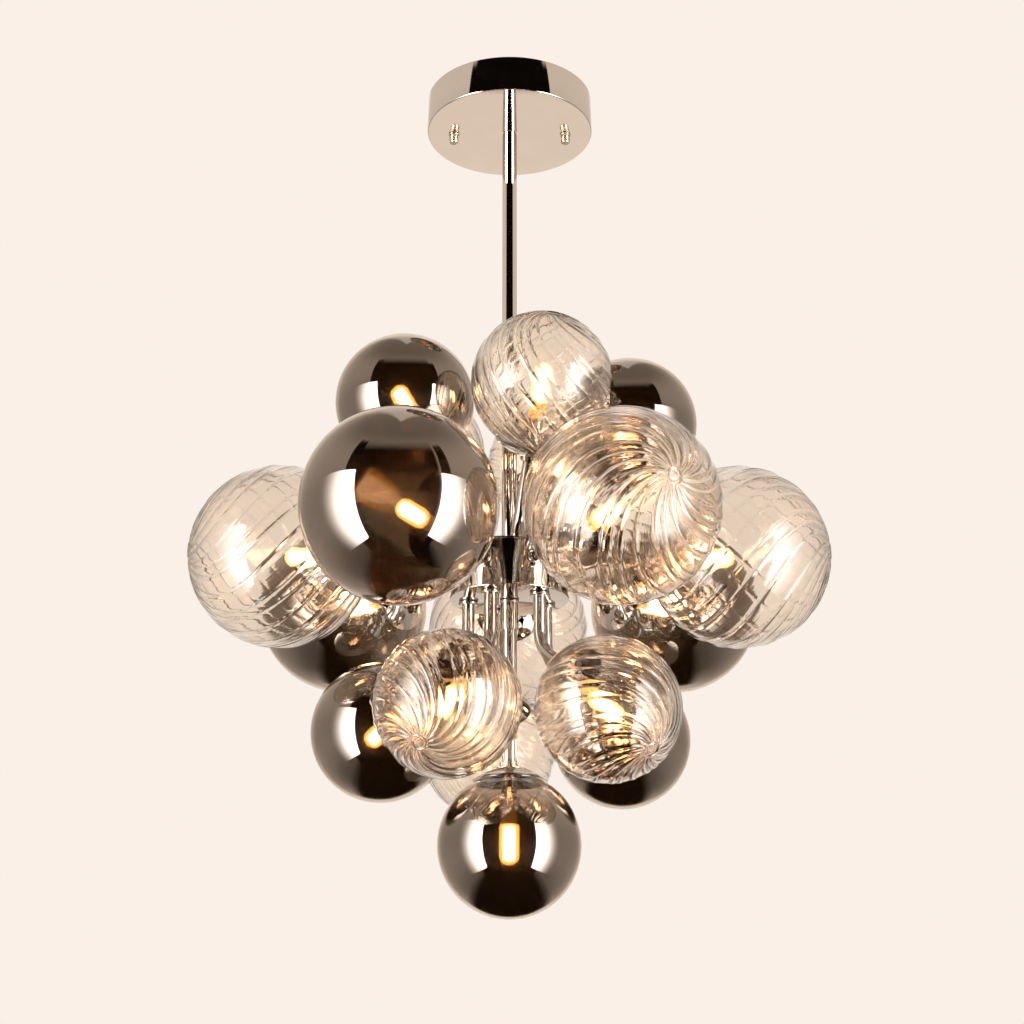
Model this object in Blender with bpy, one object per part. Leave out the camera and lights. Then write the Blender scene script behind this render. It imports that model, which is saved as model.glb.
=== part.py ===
"""Cluster chandelier: a ceiling canopy and rod carry a hub drum, whose arms hold eighteen glass globes.

Metres, +Z up. The origin lies on the ceiling plane, on the rod's axis, and the front faces -Y.
An azimuth is counted from the front, positive towards +X. A tilt is counted from straight up.
"""
import math

import bmesh
import bpy
from mathutils import Matrix, Vector

# Gap that neighbouring pieces keep to each other
SEAT_GAP = 0.0003

# Ceiling canopy, its crossbar and the two nuts that hold it
CANOPY_DIAMETER = 0.156
CANOPY_HEIGHT = 0.034
CANOPY_WALL = 0.0012
CANOPY_EDGE = 0.0015
ROD_HOLE_CLEARANCE = 0.0006
STUD_SPACING = 0.106
STUD_DIAMETER = 0.004
STUD_CLEARANCE = 0.0005
STUD_END_CLEARANCE = 0.001
CROSSBAR_OVERHANG = 0.009
CROSSBAR_WIDTH = 0.020
CROSSBAR_THICKNESS = 0.003
SCREW_SPACING = 0.070
SCREW_HOLE_DIAMETER = 0.0048
BOSS_DIAMETER = 0.017
BOSS_LENGTH = 0.017
NUT_DIAMETER = 0.0084
NUT_FLANGE_DIAMETER = 0.0100
NUT_FLANGE_THICKNESS = 0.0016
NUT_LENGTH = 0.010
NUT_TIP_CHAMFER = 0.0014
NUT_THREAD_DEPTH = 0.0065
CUT_OVERRUN = 0.002

# Down rod
ROD_DIAMETER = 0.0137
ROD_SPIGOT_DIAMETER = 0.010
ROD_SPIGOT_LENGTH = 0.012
ROD_COLLAR_DIAMETER = 0.0177
ROD_COLLAR_LENGTH = 0.004
ROD_LENGTH = 0.4323

# Hub drum, and the stem that runs on down from it
HUB_DIAMETER = 0.1035
HUB_HEIGHT = 0.043
HUB_EDGE = 0.0012
STEM_SLEEVE_DIAMETER = 0.0155
STEM_SLEEVE_LENGTH = 0.027
STEM_DIAMETER = 0.0130
STEM_LENGTH = 0.145

# Arms: plain tube with a washer at the hub and a collar at the cup
ARM_DIAMETER = 0.011
WASHER_DIAMETER = 0.017
WASHER_THICKNESS = 0.003
COLLAR_DIAMETER = 0.0167
COLLAR_LENGTH = 0.004
UPPER_BEND_RADIUS = 0.014
LOWER_BEND_RADIUS = 0.030
LOWER_EXIT_RADIUS = 0.036

# Globes and the rings that they hang in: radius, height above or below the hub's middle, first azimuth
SMALL_GLOBE_DIAMETER = 0.120
LARGE_GLOBE_DIAMETER = 0.1555
UPPER_RING_RADIUS = 0.1073
UPPER_RING_RISE = 0.1395
UPPER_TILT = math.radians(37.0)
UPPER_FIRST_AZIMUTH = math.radians(14.8)
MIDDLE_RING_RADIUS = 0.1987
MIDDLE_RING_RISE = 0.0045
MIDDLE_FIRST_AZIMUTH = math.radians(26.1)
LOWER_RING_RADIUS = 0.1109
LOWER_RING_DROP = 0.1335
LOWER_TILT = math.radians(131.0)
LOWER_FIRST_AZIMUTH = math.radians(-26.3)

# Tint of each globe, from a ring's first azimuth on round towards +X
UPPER_TINTS = ("clear", "smoke", "clear", "clear", "smoke")
MIDDLE_TINTS = ("clear", "clear", "smoke", "clear", "smoke", "clear", "smoke")
LOWER_TINTS = ("clear", "clear", "smoke", "clear", "smoke")

# Blown glass: ribs that spiral from the outer pole to the neck on the clear globes
GLASS_WALL = 0.0020
NECK_DIAMETER = 0.028
RIB_DEPTH = 0.0013
RIB_COUNT = 12
RIB_TWIST = math.radians(120.0)

# Cup over each globe's neck, with its lamp holder and bulb
CUP_DIAMETER = 0.063
CUP_DEPTH = 0.0121
CUP_WALL = 0.0012
CUP_CLEARANCE = 0.0005
CUP_SHOULDER_SHARE = 0.64
CUP_SEAT_DEPTH = 0.0040
CUP_SEAT_DIAMETER = 0.030
HOLDER_DIAMETER = 0.0138
HOLDER_LENGTH = 0.031
BULB_CAP_DIAMETER = 0.0130
BULB_CAP_LENGTH = 0.013
BULB_DIAMETER = 0.0164
BULB_GLASS_LENGTH = 0.033
BULB_TIP_SHARE = 0.60

# Facets
TUBE_SIDES = 8
CUP_SIDES = 12
ROUND_SIDES = 42
CANOPY_SIDES = 30
ROD_SIDES = 12
SMOKE_SIDES = 16
GLOBE_BANDS = 7
UPPER_BEND_STEPS = 3
LOWER_BEND_STEPS = 3
SHARP_ANGLE = math.radians(35.0)

# Names of paired pieces, in the order of their X
SIDES = ("left", "right")

# Heights that follow from the sizes above
HUB_TOP = SEAT_GAP - CROSSBAR_THICKNESS - BOSS_LENGTH - ROD_LENGTH
HUB_MIDDLE = HUB_TOP - HUB_HEIGHT / 2
HUB_BOTTOM = HUB_TOP - HUB_HEIGHT
CUP_RADIUS = CUP_DIAMETER / 2


def clear_scene():
    """Remove whatever the file holds."""
    for thing in list(bpy.data.objects):
        bpy.data.objects.remove(thing, do_unlink=True)


def make_material(name, colour, roughness, metallic, transmission=0.0):
    """A plain Principled surface."""
    material = bpy.data.materials.new(name)
    material.use_nodes = True
    shader = material.node_tree.nodes["Principled BSDF"]
    shader.inputs["Base Color"].default_value = (*colour, 1.0)
    shader.inputs["Roughness"].default_value = roughness
    shader.inputs["Metallic"].default_value = metallic
    shader.inputs["Transmission Weight"].default_value = transmission
    return material


def place(azimuth, radius, height, tilt):
    """Frame at a radius and height, its Z leaning outwards by the tilt."""
    turn = Matrix.Rotation(azimuth, 4, "Z")
    shift = Matrix.Translation((0.0, -radius, height))
    lean = Matrix.Rotation(tilt, 4, "X")
    return turn @ shift @ lean


def section(frame, offset, radius, sides, turn=0.0):
    """The points of one round section, square to the frame's Z."""
    step = math.tau / sides
    angles = [turn + step * index for index in range(sides)]
    return [frame @ Vector((radius * math.cos(angle), radius * math.sin(angle), offset)) for angle in angles]


def pole(frame, offset):
    """A section that has shrunk to one point."""
    return [frame @ Vector((0.0, 0.0, offset))]


def fill_band(bm, first, second):
    """Triangles between two neighbouring rows of vertices, whatever their numbers of sides."""
    if len(first) == 1 or len(second) == 1:
        tip, rim = (first, second) if len(first) == 1 else (second, first)
        for index, vert in enumerate(rim):
            bm.faces.new((tip[0], vert, rim[(index + 1) % len(rim)]))
        return
    first_step = math.tau / len(first)
    second_step = math.tau / len(second)
    i, j = 0, 0
    while i < len(first) or j < len(second):
        a, b = first[i % len(first)], second[j % len(second)]
        if first_step * (i + 0.5) <= second_step * (j + 0.5):
            bm.faces.new((a, b, first[(i + 1) % len(first)]))
            i += 1
        else:
            bm.faces.new((a, b, second[(j + 1) % len(second)]))
            j += 1


def finish_mesh(name, bm, material, origin):
    """Turn a closed mesh outwards, set its origin, shade it and link it as one piece."""
    bmesh.ops.recalc_face_normals(bm, faces=bm.faces)
    bmesh.ops.transform(bm, matrix=origin.inverted(), verts=bm.verts)
    mesh = bpy.data.meshes.new(name)
    bm.to_mesh(mesh)
    bm.free()
    mesh.shade_smooth()
    mesh.set_sharp_from_angle(angle=SHARP_ANGLE)
    mesh.materials.append(material)
    piece = bpy.data.objects.new(name, mesh)
    piece.matrix_world = origin
    bpy.context.scene.collection.objects.link(piece)
    return piece


def loft(name, sections, material, origin, ring=False):
    """One closed skin through a row of sections: a ring closes on itself, and other round ends get flat caps."""
    bm = bmesh.new()
    rows = [[bm.verts.new(point) for point in points] for points in sections]
    for first, second in zip(rows, rows[1:]):
        fill_band(bm, first, second)
    if ring:
        fill_band(bm, rows[-1], rows[0])
    else:
        for verts in (rows[0], rows[-1]):
            if len(verts) > 1:
                bm.faces.new(verts)
    return finish_mesh(name, bm, material, origin)


def turned(name, profile, sides, material, origin, ring=False):
    """A turned piece from (offset, radius) points along the origin's Z."""
    sections = [
        section(origin, offset, radius, sides) if radius else pole(origin, offset)
        for offset, radius in profile
    ]
    return loft(name, sections, material, origin, ring)


def cylinder_profile(low, high, radius):
    """Profile of a plain closed cylinder."""
    return (high, 0.0), (high, radius), (low, radius), (low, 0.0)


def box(name, size, centre):
    """A plain block."""
    bm = bmesh.new()
    bmesh.ops.create_cube(bm, size=1.0, matrix=Matrix.Translation(centre) @ Matrix.Diagonal((*size, 1.0)))
    mesh = bpy.data.meshes.new(name)
    bm.to_mesh(mesh)
    bm.free()
    piece = bpy.data.objects.new(name, mesh)
    bpy.context.scene.collection.objects.link(piece)
    return piece


def combine(piece, tool, operation):
    """Join a helper solid to a piece, or cut it out of it."""
    tool.hide_render = True
    tool.display_type = "WIRE"
    modifier = piece.modifiers.new(tool.name, "BOOLEAN")
    modifier.object = tool
    modifier.operation = operation


def side_frames(spacing):
    """Frames on a left and a right axis this far apart."""
    return [Matrix.Translation((side * spacing / 2, 0.0, 0.0)) for side in (-1, 1)]


def make_crossbar(steel):
    """Bar screwed to the ceiling, with a tapped boss for the rod and two studs for the canopy."""
    length = STUD_SPACING + 2 * CROSSBAR_OVERHANG
    middle = Vector((0.0, 0.0, -CROSSBAR_THICKNESS / 2))
    crossbar = box("ceiling_crossbar", (length, CROSSBAR_WIDTH, CROSSBAR_THICKNESS), middle)
    crossbar.data.materials.append(steel)
    underside = -CROSSBAR_THICKNESS
    root = -CROSSBAR_THICKNESS / 2
    boss_end = underside - BOSS_LENGTH
    boss_profile = cylinder_profile(boss_end, root, BOSS_DIAMETER / 2)
    boss = turned("boss_form", boss_profile, ROD_SIDES, steel, Matrix())
    combine(crossbar, boss, "UNION")
    stud_end = -CANOPY_HEIGHT - NUT_THREAD_DEPTH + STUD_END_CLEARANCE
    stud_profile = cylinder_profile(stud_end, root, STUD_DIAMETER / 2)
    for side, frame in zip(SIDES, side_frames(STUD_SPACING)):
        stud = turned("stud_form_" + side, stud_profile, TUBE_SIDES, steel, frame)
        combine(crossbar, stud, "UNION")
    hole_profile = cylinder_profile(underside - CUT_OVERRUN, CUT_OVERRUN, SCREW_HOLE_DIAMETER / 2)
    for side, frame in zip(SIDES, side_frames(SCREW_SPACING)):
        hole = turned("screw_hole_form_" + side, hole_profile, TUBE_SIDES, steel, frame)
        combine(crossbar, hole, "DIFFERENCE")
    bore_top = boss_end + ROD_SPIGOT_LENGTH + SEAT_GAP
    bore_profile = cylinder_profile(boss_end - CUT_OVERRUN, bore_top, ROD_SPIGOT_DIAMETER / 2 + SEAT_GAP)
    bore = turned("bore_form", bore_profile, ROD_SIDES, steel, Matrix())
    combine(crossbar, bore, "DIFFERENCE")


def make_canopy(chrome):
    """Round pan, open against the ceiling, with holes for the rod and the studs."""
    outer = CANOPY_DIAMETER / 2
    inner = outer - CANOPY_WALL
    hole = ROD_DIAMETER / 2 + ROD_HOLE_CLEARANCE
    floor = -CANOPY_HEIGHT + CANOPY_WALL
    profile = (
        (-CANOPY_HEIGHT, hole),
        (-CANOPY_HEIGHT, outer - CANOPY_EDGE),
        (-CANOPY_HEIGHT + CANOPY_EDGE, outer),
        (0.0, outer),
        (0.0, inner),
        (floor, inner - CANOPY_EDGE / 2),
        (floor, hole),
    )
    canopy = turned("canopy", profile, CANOPY_SIDES, chrome, Matrix(), ring=True)
    hole_profile = cylinder_profile(-CANOPY_HEIGHT - CUT_OVERRUN, floor + CUT_OVERRUN,
                                    STUD_DIAMETER / 2 + STUD_CLEARANCE)
    for side, frame in zip(SIDES, side_frames(STUD_SPACING)):
        cutter = turned("stud_hole_form_" + side, hole_profile, TUBE_SIDES, chrome, frame)
        combine(canopy, cutter, "DIFFERENCE")


def make_canopy_nuts(chrome):
    """Blind thumb nuts that clamp the canopy, with a flange against it."""
    seat = -CANOPY_HEIGHT - SEAT_GAP
    bore = STUD_DIAMETER / 2 + SEAT_GAP
    profile = (
        (seat - NUT_THREAD_DEPTH, 0.0),
        (seat - NUT_THREAD_DEPTH, bore),
        (seat, bore),
        (seat, NUT_FLANGE_DIAMETER / 2),
        (seat - NUT_FLANGE_THICKNESS, NUT_FLANGE_DIAMETER / 2),
        (seat - NUT_FLANGE_THICKNESS, NUT_DIAMETER / 2),
        (seat - NUT_LENGTH + NUT_TIP_CHAMFER, NUT_DIAMETER / 2),
        (seat - NUT_LENGTH, NUT_DIAMETER / 2 - NUT_TIP_CHAMFER),
        (seat - NUT_LENGTH, 0.0),
    )
    for side, frame in zip(SIDES, side_frames(STUD_SPACING)):
        turned("canopy_nut_" + side, profile, TUBE_SIDES, chrome, frame)


def make_rod(chrome):
    """Down rod: a spigot up into the crossbar's boss, and a collar down on the hub."""
    top = -CROSSBAR_THICKNESS - BOSS_LENGTH - SEAT_GAP
    bottom = HUB_TOP + SEAT_GAP
    profile = (
        (top + ROD_SPIGOT_LENGTH, 0.0),
        (top + ROD_SPIGOT_LENGTH, ROD_SPIGOT_DIAMETER / 2),
        (top, ROD_SPIGOT_DIAMETER / 2),
        (top, ROD_DIAMETER / 2),
        (bottom + ROD_COLLAR_LENGTH, ROD_DIAMETER / 2),
        (bottom + ROD_COLLAR_LENGTH, ROD_COLLAR_DIAMETER / 2),
        (bottom, ROD_COLLAR_DIAMETER / 2),
        (bottom, 0.0),
    )
    turned("down_rod", profile, ROD_SIDES, chrome, Matrix())


def make_hub(chrome):
    """Drum that every arm screws into. Its facets face the middle ring's arms squarely."""
    radius = HUB_DIAMETER / 2
    profile = (
        (HUB_TOP, 0.0),
        (HUB_TOP, radius - HUB_EDGE),
        (HUB_TOP - HUB_EDGE, radius),
        (HUB_BOTTOM + HUB_EDGE, radius),
        (HUB_BOTTOM, radius - HUB_EDGE),
        (HUB_BOTTOM, 0.0),
    )
    facet = math.tau / ROUND_SIDES
    squared = Matrix.Rotation(MIDDLE_FIRST_AZIMUTH - math.pi / 2 + facet / 2, 4, "Z")
    turned("hub_drum", profile, ROUND_SIDES, chrome, squared)


def cup_rim_height(globe_radius):
    """Height of a cup's rim over its globe's centre, where the rim's flats just clear the glass."""
    reach = (CUP_RADIUS - CUP_WALL) * math.cos(math.pi / CUP_SIDES)
    return math.sqrt(globe_radius**2 - reach**2) + CUP_CLEARANCE


def cup_apex_height(globe_radius):
    """Height of a cup's apex over its globe's centre."""
    return cup_rim_height(globe_radius) + CUP_DEPTH


def dome_drop(radius):
    """How far the cup's outer dome has fallen below its apex at a radius."""
    curvature = (CUP_RADIUS**2 + CUP_DEPTH**2) / (2 * CUP_DEPTH)
    return curvature - math.sqrt(curvature**2 - radius**2)


def lamp_end_sections(apex):
    """Collar, cup and lamp holder at the end of a tube. The apex frame's Z points at the globe."""
    collar = COLLAR_DIAMETER / 2
    shoulder = CUP_RADIUS * CUP_SHOULDER_SHARE
    return [
        section(apex, -COLLAR_LENGTH, collar, TUBE_SIDES),
        section(apex, dome_drop(collar), collar, TUBE_SIDES),
        section(apex, dome_drop(shoulder), shoulder, CUP_SIDES),
        section(apex, CUP_DEPTH, CUP_RADIUS, CUP_SIDES),
        section(apex, CUP_DEPTH, CUP_RADIUS - CUP_WALL, CUP_SIDES),
        section(apex, CUP_SEAT_DEPTH, CUP_SEAT_DIAMETER / 2, CUP_SIDES),
        section(apex, CUP_SEAT_DEPTH, HOLDER_DIAMETER / 2, TUBE_SIDES),
        section(apex, CUP_SEAT_DEPTH + HOLDER_LENGTH, HOLDER_DIAMETER / 2, TUBE_SIDES),
    ]


def hub_end_sections(start):
    """Washer at the hub's surface. The start frame's Z points along the tube."""
    return [
        section(start, SEAT_GAP, WASHER_DIAMETER / 2, TUBE_SIDES),
        section(start, SEAT_GAP + WASHER_THICKNESS, WASHER_DIAMETER / 2, TUBE_SIDES),
        section(start, SEAT_GAP + WASHER_THICKNESS, ARM_DIAMETER / 2, TUBE_SIDES),
    ]


def bend_sections(azimuth, knee, start_tilt, end_tilt, bend_radius, steps):
    """Tube round the corner at a knee (radius, height), from vertical to the end's tilt."""
    rise = math.cos(start_tilt)
    sweep = abs(end_tilt - start_tilt)
    tangent = bend_radius * math.tan(sweep / 2)
    sections = []
    for index in range(steps + 1):
        turned_by = sweep * index / steps
        radius = knee[0] + bend_radius * (1 - math.cos(turned_by))
        height = knee[1] + rise * (bend_radius * math.sin(turned_by) - tangent)
        tilt = start_tilt + math.copysign(turned_by, end_tilt - start_tilt)
        sections.append(section(place(azimuth, radius, height, tilt), 0.0, ARM_DIAMETER / 2, TUBE_SIDES))
    return sections


def tube_end(apex):
    """The tube where its collar begins."""
    return [section(apex, -COLLAR_LENGTH, ARM_DIAMETER / 2, TUBE_SIDES)]


def make_upper_arm(name, azimuth, apex, apex_point, chrome):
    """Arm out of the hub's top: a short bend, then straight up and out."""
    tangent = UPPER_BEND_RADIUS * math.tan(UPPER_TILT / 2)
    knee_height = HUB_TOP + SEAT_GAP + WASHER_THICKNESS + tangent
    knee = (apex_point[0] - (apex_point[1] - knee_height) * math.tan(UPPER_TILT), knee_height)
    start = place(azimuth, knee[0], HUB_TOP, 0.0)
    bend = bend_sections(azimuth, knee, 0.0, UPPER_TILT, UPPER_BEND_RADIUS, UPPER_BEND_STEPS)
    sections = hub_end_sections(start)[:2] + bend + tube_end(apex) + lamp_end_sections(apex)
    loft(name, sections, chrome, start)


def make_middle_arm(name, azimuth, apex, apex_point, chrome):
    """Straight level arm out of the hub's wall."""
    wall = HUB_DIAMETER / 2 * math.cos(math.pi / ROUND_SIDES)
    start = place(azimuth, wall, apex_point[1], math.pi / 2)
    loft(name, hub_end_sections(start) + tube_end(apex) + lamp_end_sections(apex), chrome, start)


def make_lower_arm(name, azimuth, apex, apex_point, chrome):
    """Arm out of the hub's underside: straight down, then a wide bend out."""
    start = place(azimuth, LOWER_EXIT_RADIUS, HUB_BOTTOM, math.pi)
    rise = (apex_point[0] - LOWER_EXIT_RADIUS) / math.tan(math.pi - LOWER_TILT)
    knee = (LOWER_EXIT_RADIUS, apex_point[1] + rise)
    bend = bend_sections(azimuth, knee, math.pi, LOWER_TILT, LOWER_BEND_RADIUS, LOWER_BEND_STEPS)
    loft(name, hub_end_sections(start) + bend + tube_end(apex) + lamp_end_sections(apex), chrome, start)


def make_stem(apex, chrome):
    """Sleeve and tube straight down from the hub to the bottom cup."""
    start = place(0.0, 0.0, HUB_BOTTOM, math.pi)
    sections = [
        section(start, SEAT_GAP, STEM_SLEEVE_DIAMETER / 2, TUBE_SIDES),
        section(start, STEM_SLEEVE_LENGTH, STEM_SLEEVE_DIAMETER / 2, TUBE_SIDES),
        section(start, STEM_SLEEVE_LENGTH, STEM_DIAMETER / 2, TUBE_SIDES),
        section(apex, -COLLAR_LENGTH, STEM_DIAMETER / 2, TUBE_SIDES),
    ]
    loft("bottom_stem", sections + lamp_end_sections(apex), chrome, start)


def make_bulb(name, apex, lamp):
    """Capsule bulb, end on to its holder."""
    base = CUP_SEAT_DEPTH + HOLDER_LENGTH + SEAT_GAP
    glass = base + BULB_CAP_LENGTH
    tip = glass + BULB_GLASS_LENGTH
    shoulder = tip - BULB_DIAMETER / 2 * BULB_TIP_SHARE
    sections = [
        section(apex, base, BULB_CAP_DIAMETER / 2, TUBE_SIDES),
        section(apex, glass, BULB_DIAMETER / 2, TUBE_SIDES),
        section(apex, shoulder, BULB_DIAMETER / 2, TUBE_SIDES),
        section(apex, tip, BULB_DIAMETER / 2 * (1 - BULB_TIP_SHARE), TUBE_SIDES),
    ]
    loft(name, sections, lamp, apex)


def ball_section(centre, radius, polar, sides, turn=0.0, groove=0.0):
    """Section of a ball at a polar angle from its outer pole. Every second point sinks by the groove."""
    points = section(centre, radius * math.cos(polar), radius * math.sin(polar), sides, turn)
    middle = centre.to_translation()
    sunk_share = 1 - groove / radius
    return [middle.lerp(point, sunk_share) if index % 2 else point for index, point in enumerate(points)]


def neck_sections(centre, radius, turn, outer_sides, inner_sides):
    """Lip of a globe's short neck, from its outside to its inside."""
    lip = -(cup_apex_height(radius) - CUP_SEAT_DEPTH - SEAT_GAP)
    outer = NECK_DIAMETER / 2
    inner = outer - GLASS_WALL
    return [
        section(centre, lip, outer, outer_sides, turn),
        section(centre, lip, inner, inner_sides, turn),
    ]


def make_globe(name, centre, radius, tint, glass):
    """Blown ball with a short neck. A clear one has ribs that spiral from pole to neck."""
    ribbed = tint == "clear"
    twist = RIB_TWIST if ribbed else 0.0
    groove = RIB_DEPTH if ribbed else 0.0
    full_sides = 2 * RIB_COUNT if ribbed else SMOKE_SIDES
    neck_sides = RIB_COUNT if ribbed else SMOKE_SIDES
    inner_sides = RIB_COUNT if ribbed else SMOKE_SIDES // 2
    inner_radius = radius - GLASS_WALL
    outer_neck = math.pi - math.asin(NECK_DIAMETER / 2 / radius)
    inner_neck = math.pi - math.asin((NECK_DIAMETER / 2 - GLASS_WALL) / inner_radius)
    band_shares = [band / GLOBE_BANDS for band in range(1, GLOBE_BANDS + 1)]
    first_share = band_shares[0]
    sections = [
        pole(centre, radius),
        ball_section(centre, radius, outer_neck * first_share, full_sides // 2, twist * first_share),
    ]
    for share in band_shares[1:-1]:
        sections.append(ball_section(centre, radius, outer_neck * share, full_sides, twist * share, groove))
    sections.append(ball_section(centre, radius, outer_neck, neck_sides, twist))
    sections += neck_sections(centre, radius, twist, neck_sides, inner_sides)
    for share in reversed(band_shares):
        sections.append(ball_section(centre, inner_radius, inner_neck * share, inner_sides, twist * share))
    sections.append(pole(centre, inner_radius))
    loft(name, sections, glass, centre)


def make_lamp(label, azimuth, ring_radius, ring_height, tilt, globe_radius, tint, make_arm, looks):
    """One arm with its cup, its bulb and its globe."""
    centre = place(azimuth, ring_radius, ring_height, tilt)
    apex_height = cup_apex_height(globe_radius)
    apex = centre @ Matrix.Translation((0.0, 0.0, -apex_height))
    apex_radius = ring_radius - apex_height * math.sin(tilt)
    apex_point = (apex_radius, ring_height - apex_height * math.cos(tilt))
    make_arm("arm_" + label, azimuth, apex, apex_point, looks["chrome"])
    make_bulb("bulb_" + label, apex, looks["lamp"])
    make_globe("globe_" + label, centre, globe_radius, tint, looks[tint])


def make_ring(label, tints, first_azimuth, ring_radius, ring_height, tilt, globe_diameter, make_arm, looks):
    """A ring of evenly spaced lamps, numbered from the first azimuth round towards +X."""
    for index, tint in enumerate(tints):
        azimuth = first_azimuth + math.tau * index / len(tints)
        name = label + "_" + str(index + 1)
        make_lamp(name, azimuth, ring_radius, ring_height, tilt, globe_diameter / 2, tint, make_arm, looks)


def make_bottom_lamp(looks):
    """The globe on the stem, straight below the hub."""
    globe_radius = SMALL_GLOBE_DIAMETER / 2
    apex = place(0.0, 0.0, HUB_BOTTOM - STEM_LENGTH, math.pi)
    centre = apex @ Matrix.Translation((0.0, 0.0, cup_apex_height(globe_radius)))
    make_stem(apex, looks["chrome"])
    make_bulb("bulb_bottom", apex, looks["lamp"])
    make_globe("globe_bottom", centre, globe_radius, "smoke", looks["smoke"])


def main():
    clear_scene()
    looks = {
        "chrome": make_material("polished_nickel", (0.83, 0.80, 0.77), 0.06, 1.0),
        "steel": make_material("zinc_plated_steel", (0.62, 0.62, 0.60), 0.35, 1.0),
        "clear": make_material("clear_glass", (0.95, 0.90, 0.84), 0.03, 0.0, 0.9),
        "smoke": make_material("smoke_glass", (0.16, 0.14, 0.13), 0.04, 0.5, 0.4),
        "lamp": make_material("warm_lamp", (1.0, 0.80, 0.50), 0.3, 0.0),
    }
    make_crossbar(looks["steel"])
    make_canopy(looks["chrome"])
    make_canopy_nuts(looks["chrome"])
    make_rod(looks["chrome"])
    make_hub(looks["chrome"])
    make_ring("upper", UPPER_TINTS, UPPER_FIRST_AZIMUTH, UPPER_RING_RADIUS, HUB_MIDDLE + UPPER_RING_RISE,
              UPPER_TILT, SMALL_GLOBE_DIAMETER, make_upper_arm, looks)
    make_ring("middle", MIDDLE_TINTS, MIDDLE_FIRST_AZIMUTH, MIDDLE_RING_RADIUS, HUB_MIDDLE + MIDDLE_RING_RISE,
              math.pi / 2, LARGE_GLOBE_DIAMETER, make_middle_arm, looks)
    make_ring("lower", LOWER_TINTS, LOWER_FIRST_AZIMUTH, LOWER_RING_RADIUS, HUB_MIDDLE - LOWER_RING_DROP,
              LOWER_TILT, SMALL_GLOBE_DIAMETER, make_lower_arm, looks)
    make_bottom_lamp(looks)


main()
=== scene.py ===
"""Cluster chandelier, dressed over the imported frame, in polished nickel, ribbed glass and smoke glass.

Metres, +Z up, the front faces -Y. An azimuth is counted from the front, positive towards +X,
and a tilt is counted from straight up.
"""
import math

import bmesh
import bpy
from mathutils import Matrix, Vector


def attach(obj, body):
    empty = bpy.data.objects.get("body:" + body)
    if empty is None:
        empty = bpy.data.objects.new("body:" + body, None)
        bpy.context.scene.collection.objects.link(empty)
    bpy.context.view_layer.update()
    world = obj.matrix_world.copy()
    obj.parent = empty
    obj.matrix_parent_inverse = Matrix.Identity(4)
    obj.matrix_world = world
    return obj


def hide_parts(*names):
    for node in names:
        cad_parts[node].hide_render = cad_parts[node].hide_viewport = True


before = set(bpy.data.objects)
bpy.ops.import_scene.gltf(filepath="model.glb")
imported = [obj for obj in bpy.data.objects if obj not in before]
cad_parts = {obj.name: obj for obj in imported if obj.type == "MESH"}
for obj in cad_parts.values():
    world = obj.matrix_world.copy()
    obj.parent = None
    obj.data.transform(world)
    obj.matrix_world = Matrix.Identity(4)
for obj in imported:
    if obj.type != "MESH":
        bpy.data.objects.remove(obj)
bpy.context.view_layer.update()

# Sizes shared with the solids
SEAT_GAP = 0.0003
CANOPY_DIAMETER = 0.156
CANOPY_HEIGHT = 0.034
CANOPY_WALL = 0.0012
CANOPY_EDGE = 0.0010
ROD_HOLE_CLEARANCE = 0.0006
STUD_SPACING = 0.106
STUD_DIAMETER = 0.004
CROSSBAR_THICKNESS = 0.003
BOSS_LENGTH = 0.017
NUT_DIAMETER = 0.0084
NUT_FLANGE_DIAMETER = 0.0100
NUT_FLANGE_THICKNESS = 0.0016
NUT_LENGTH = 0.010
NUT_THREAD_DEPTH = 0.0065
ROD_DIAMETER = 0.0137
ROD_SPIGOT_DIAMETER = 0.010
ROD_SPIGOT_LENGTH = 0.012
ROD_LENGTH = 0.4323
ROD_COLLAR_DIAMETER = 0.0177
ROD_COLLAR_LENGTH = 0.004
HUB_DIAMETER = 0.1035
HUB_HEIGHT = 0.043
STEM_SLEEVE_DIAMETER = 0.0155
STEM_SLEEVE_LENGTH = 0.027
STEM_DIAMETER = 0.0130
STEM_LENGTH = 0.145
ARM_DIAMETER = 0.011
WASHER_DIAMETER = 0.017
WASHER_THICKNESS = 0.003
COLLAR_DIAMETER = 0.0167
COLLAR_LENGTH = 0.004
UPPER_BEND_RADIUS = 0.014
LOWER_BEND_RADIUS = 0.030
LOWER_EXIT_RADIUS = 0.036
SMALL_GLOBE_DIAMETER = 0.120
LARGE_GLOBE_DIAMETER = 0.1555
UPPER_RING_RADIUS = 0.1073
UPPER_RING_RISE = 0.1395
UPPER_TILT = math.radians(37.0)
UPPER_FIRST_AZIMUTH = math.radians(14.8)
MIDDLE_RING_RADIUS = 0.1987
MIDDLE_RING_RISE = 0.0045
MIDDLE_TILT = math.radians(90.0)
MIDDLE_FIRST_AZIMUTH = math.radians(26.1)
LOWER_RING_RADIUS = 0.1109
LOWER_RING_DROP = 0.1335
LOWER_TILT = math.radians(131.0)
LOWER_FIRST_AZIMUTH = math.radians(-26.3)
UPPER_TINTS = ("clear", "smoke", "clear", "clear", "smoke")
MIDDLE_TINTS = ("clear", "clear", "smoke", "clear", "smoke", "clear", "smoke")
LOWER_TINTS = ("clear", "clear", "smoke", "clear", "smoke")
NECK_DIAMETER = 0.028
CUP_DIAMETER = 0.063
CUP_DEPTH = 0.0121
CUP_WALL = 0.0012
CUP_CLEARANCE = 0.0005
CUP_SEAT_DEPTH = 0.0040
CUP_SEAT_DIAMETER = 0.030
CUP_SOLID_SIDES = 12
HOLDER_DIAMETER = 0.0138
HOLDER_LENGTH = 0.031
BULB_CAP_DIAMETER = 0.0130
BULB_CAP_LENGTH = 0.013
BULB_DIAMETER = 0.0164
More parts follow.
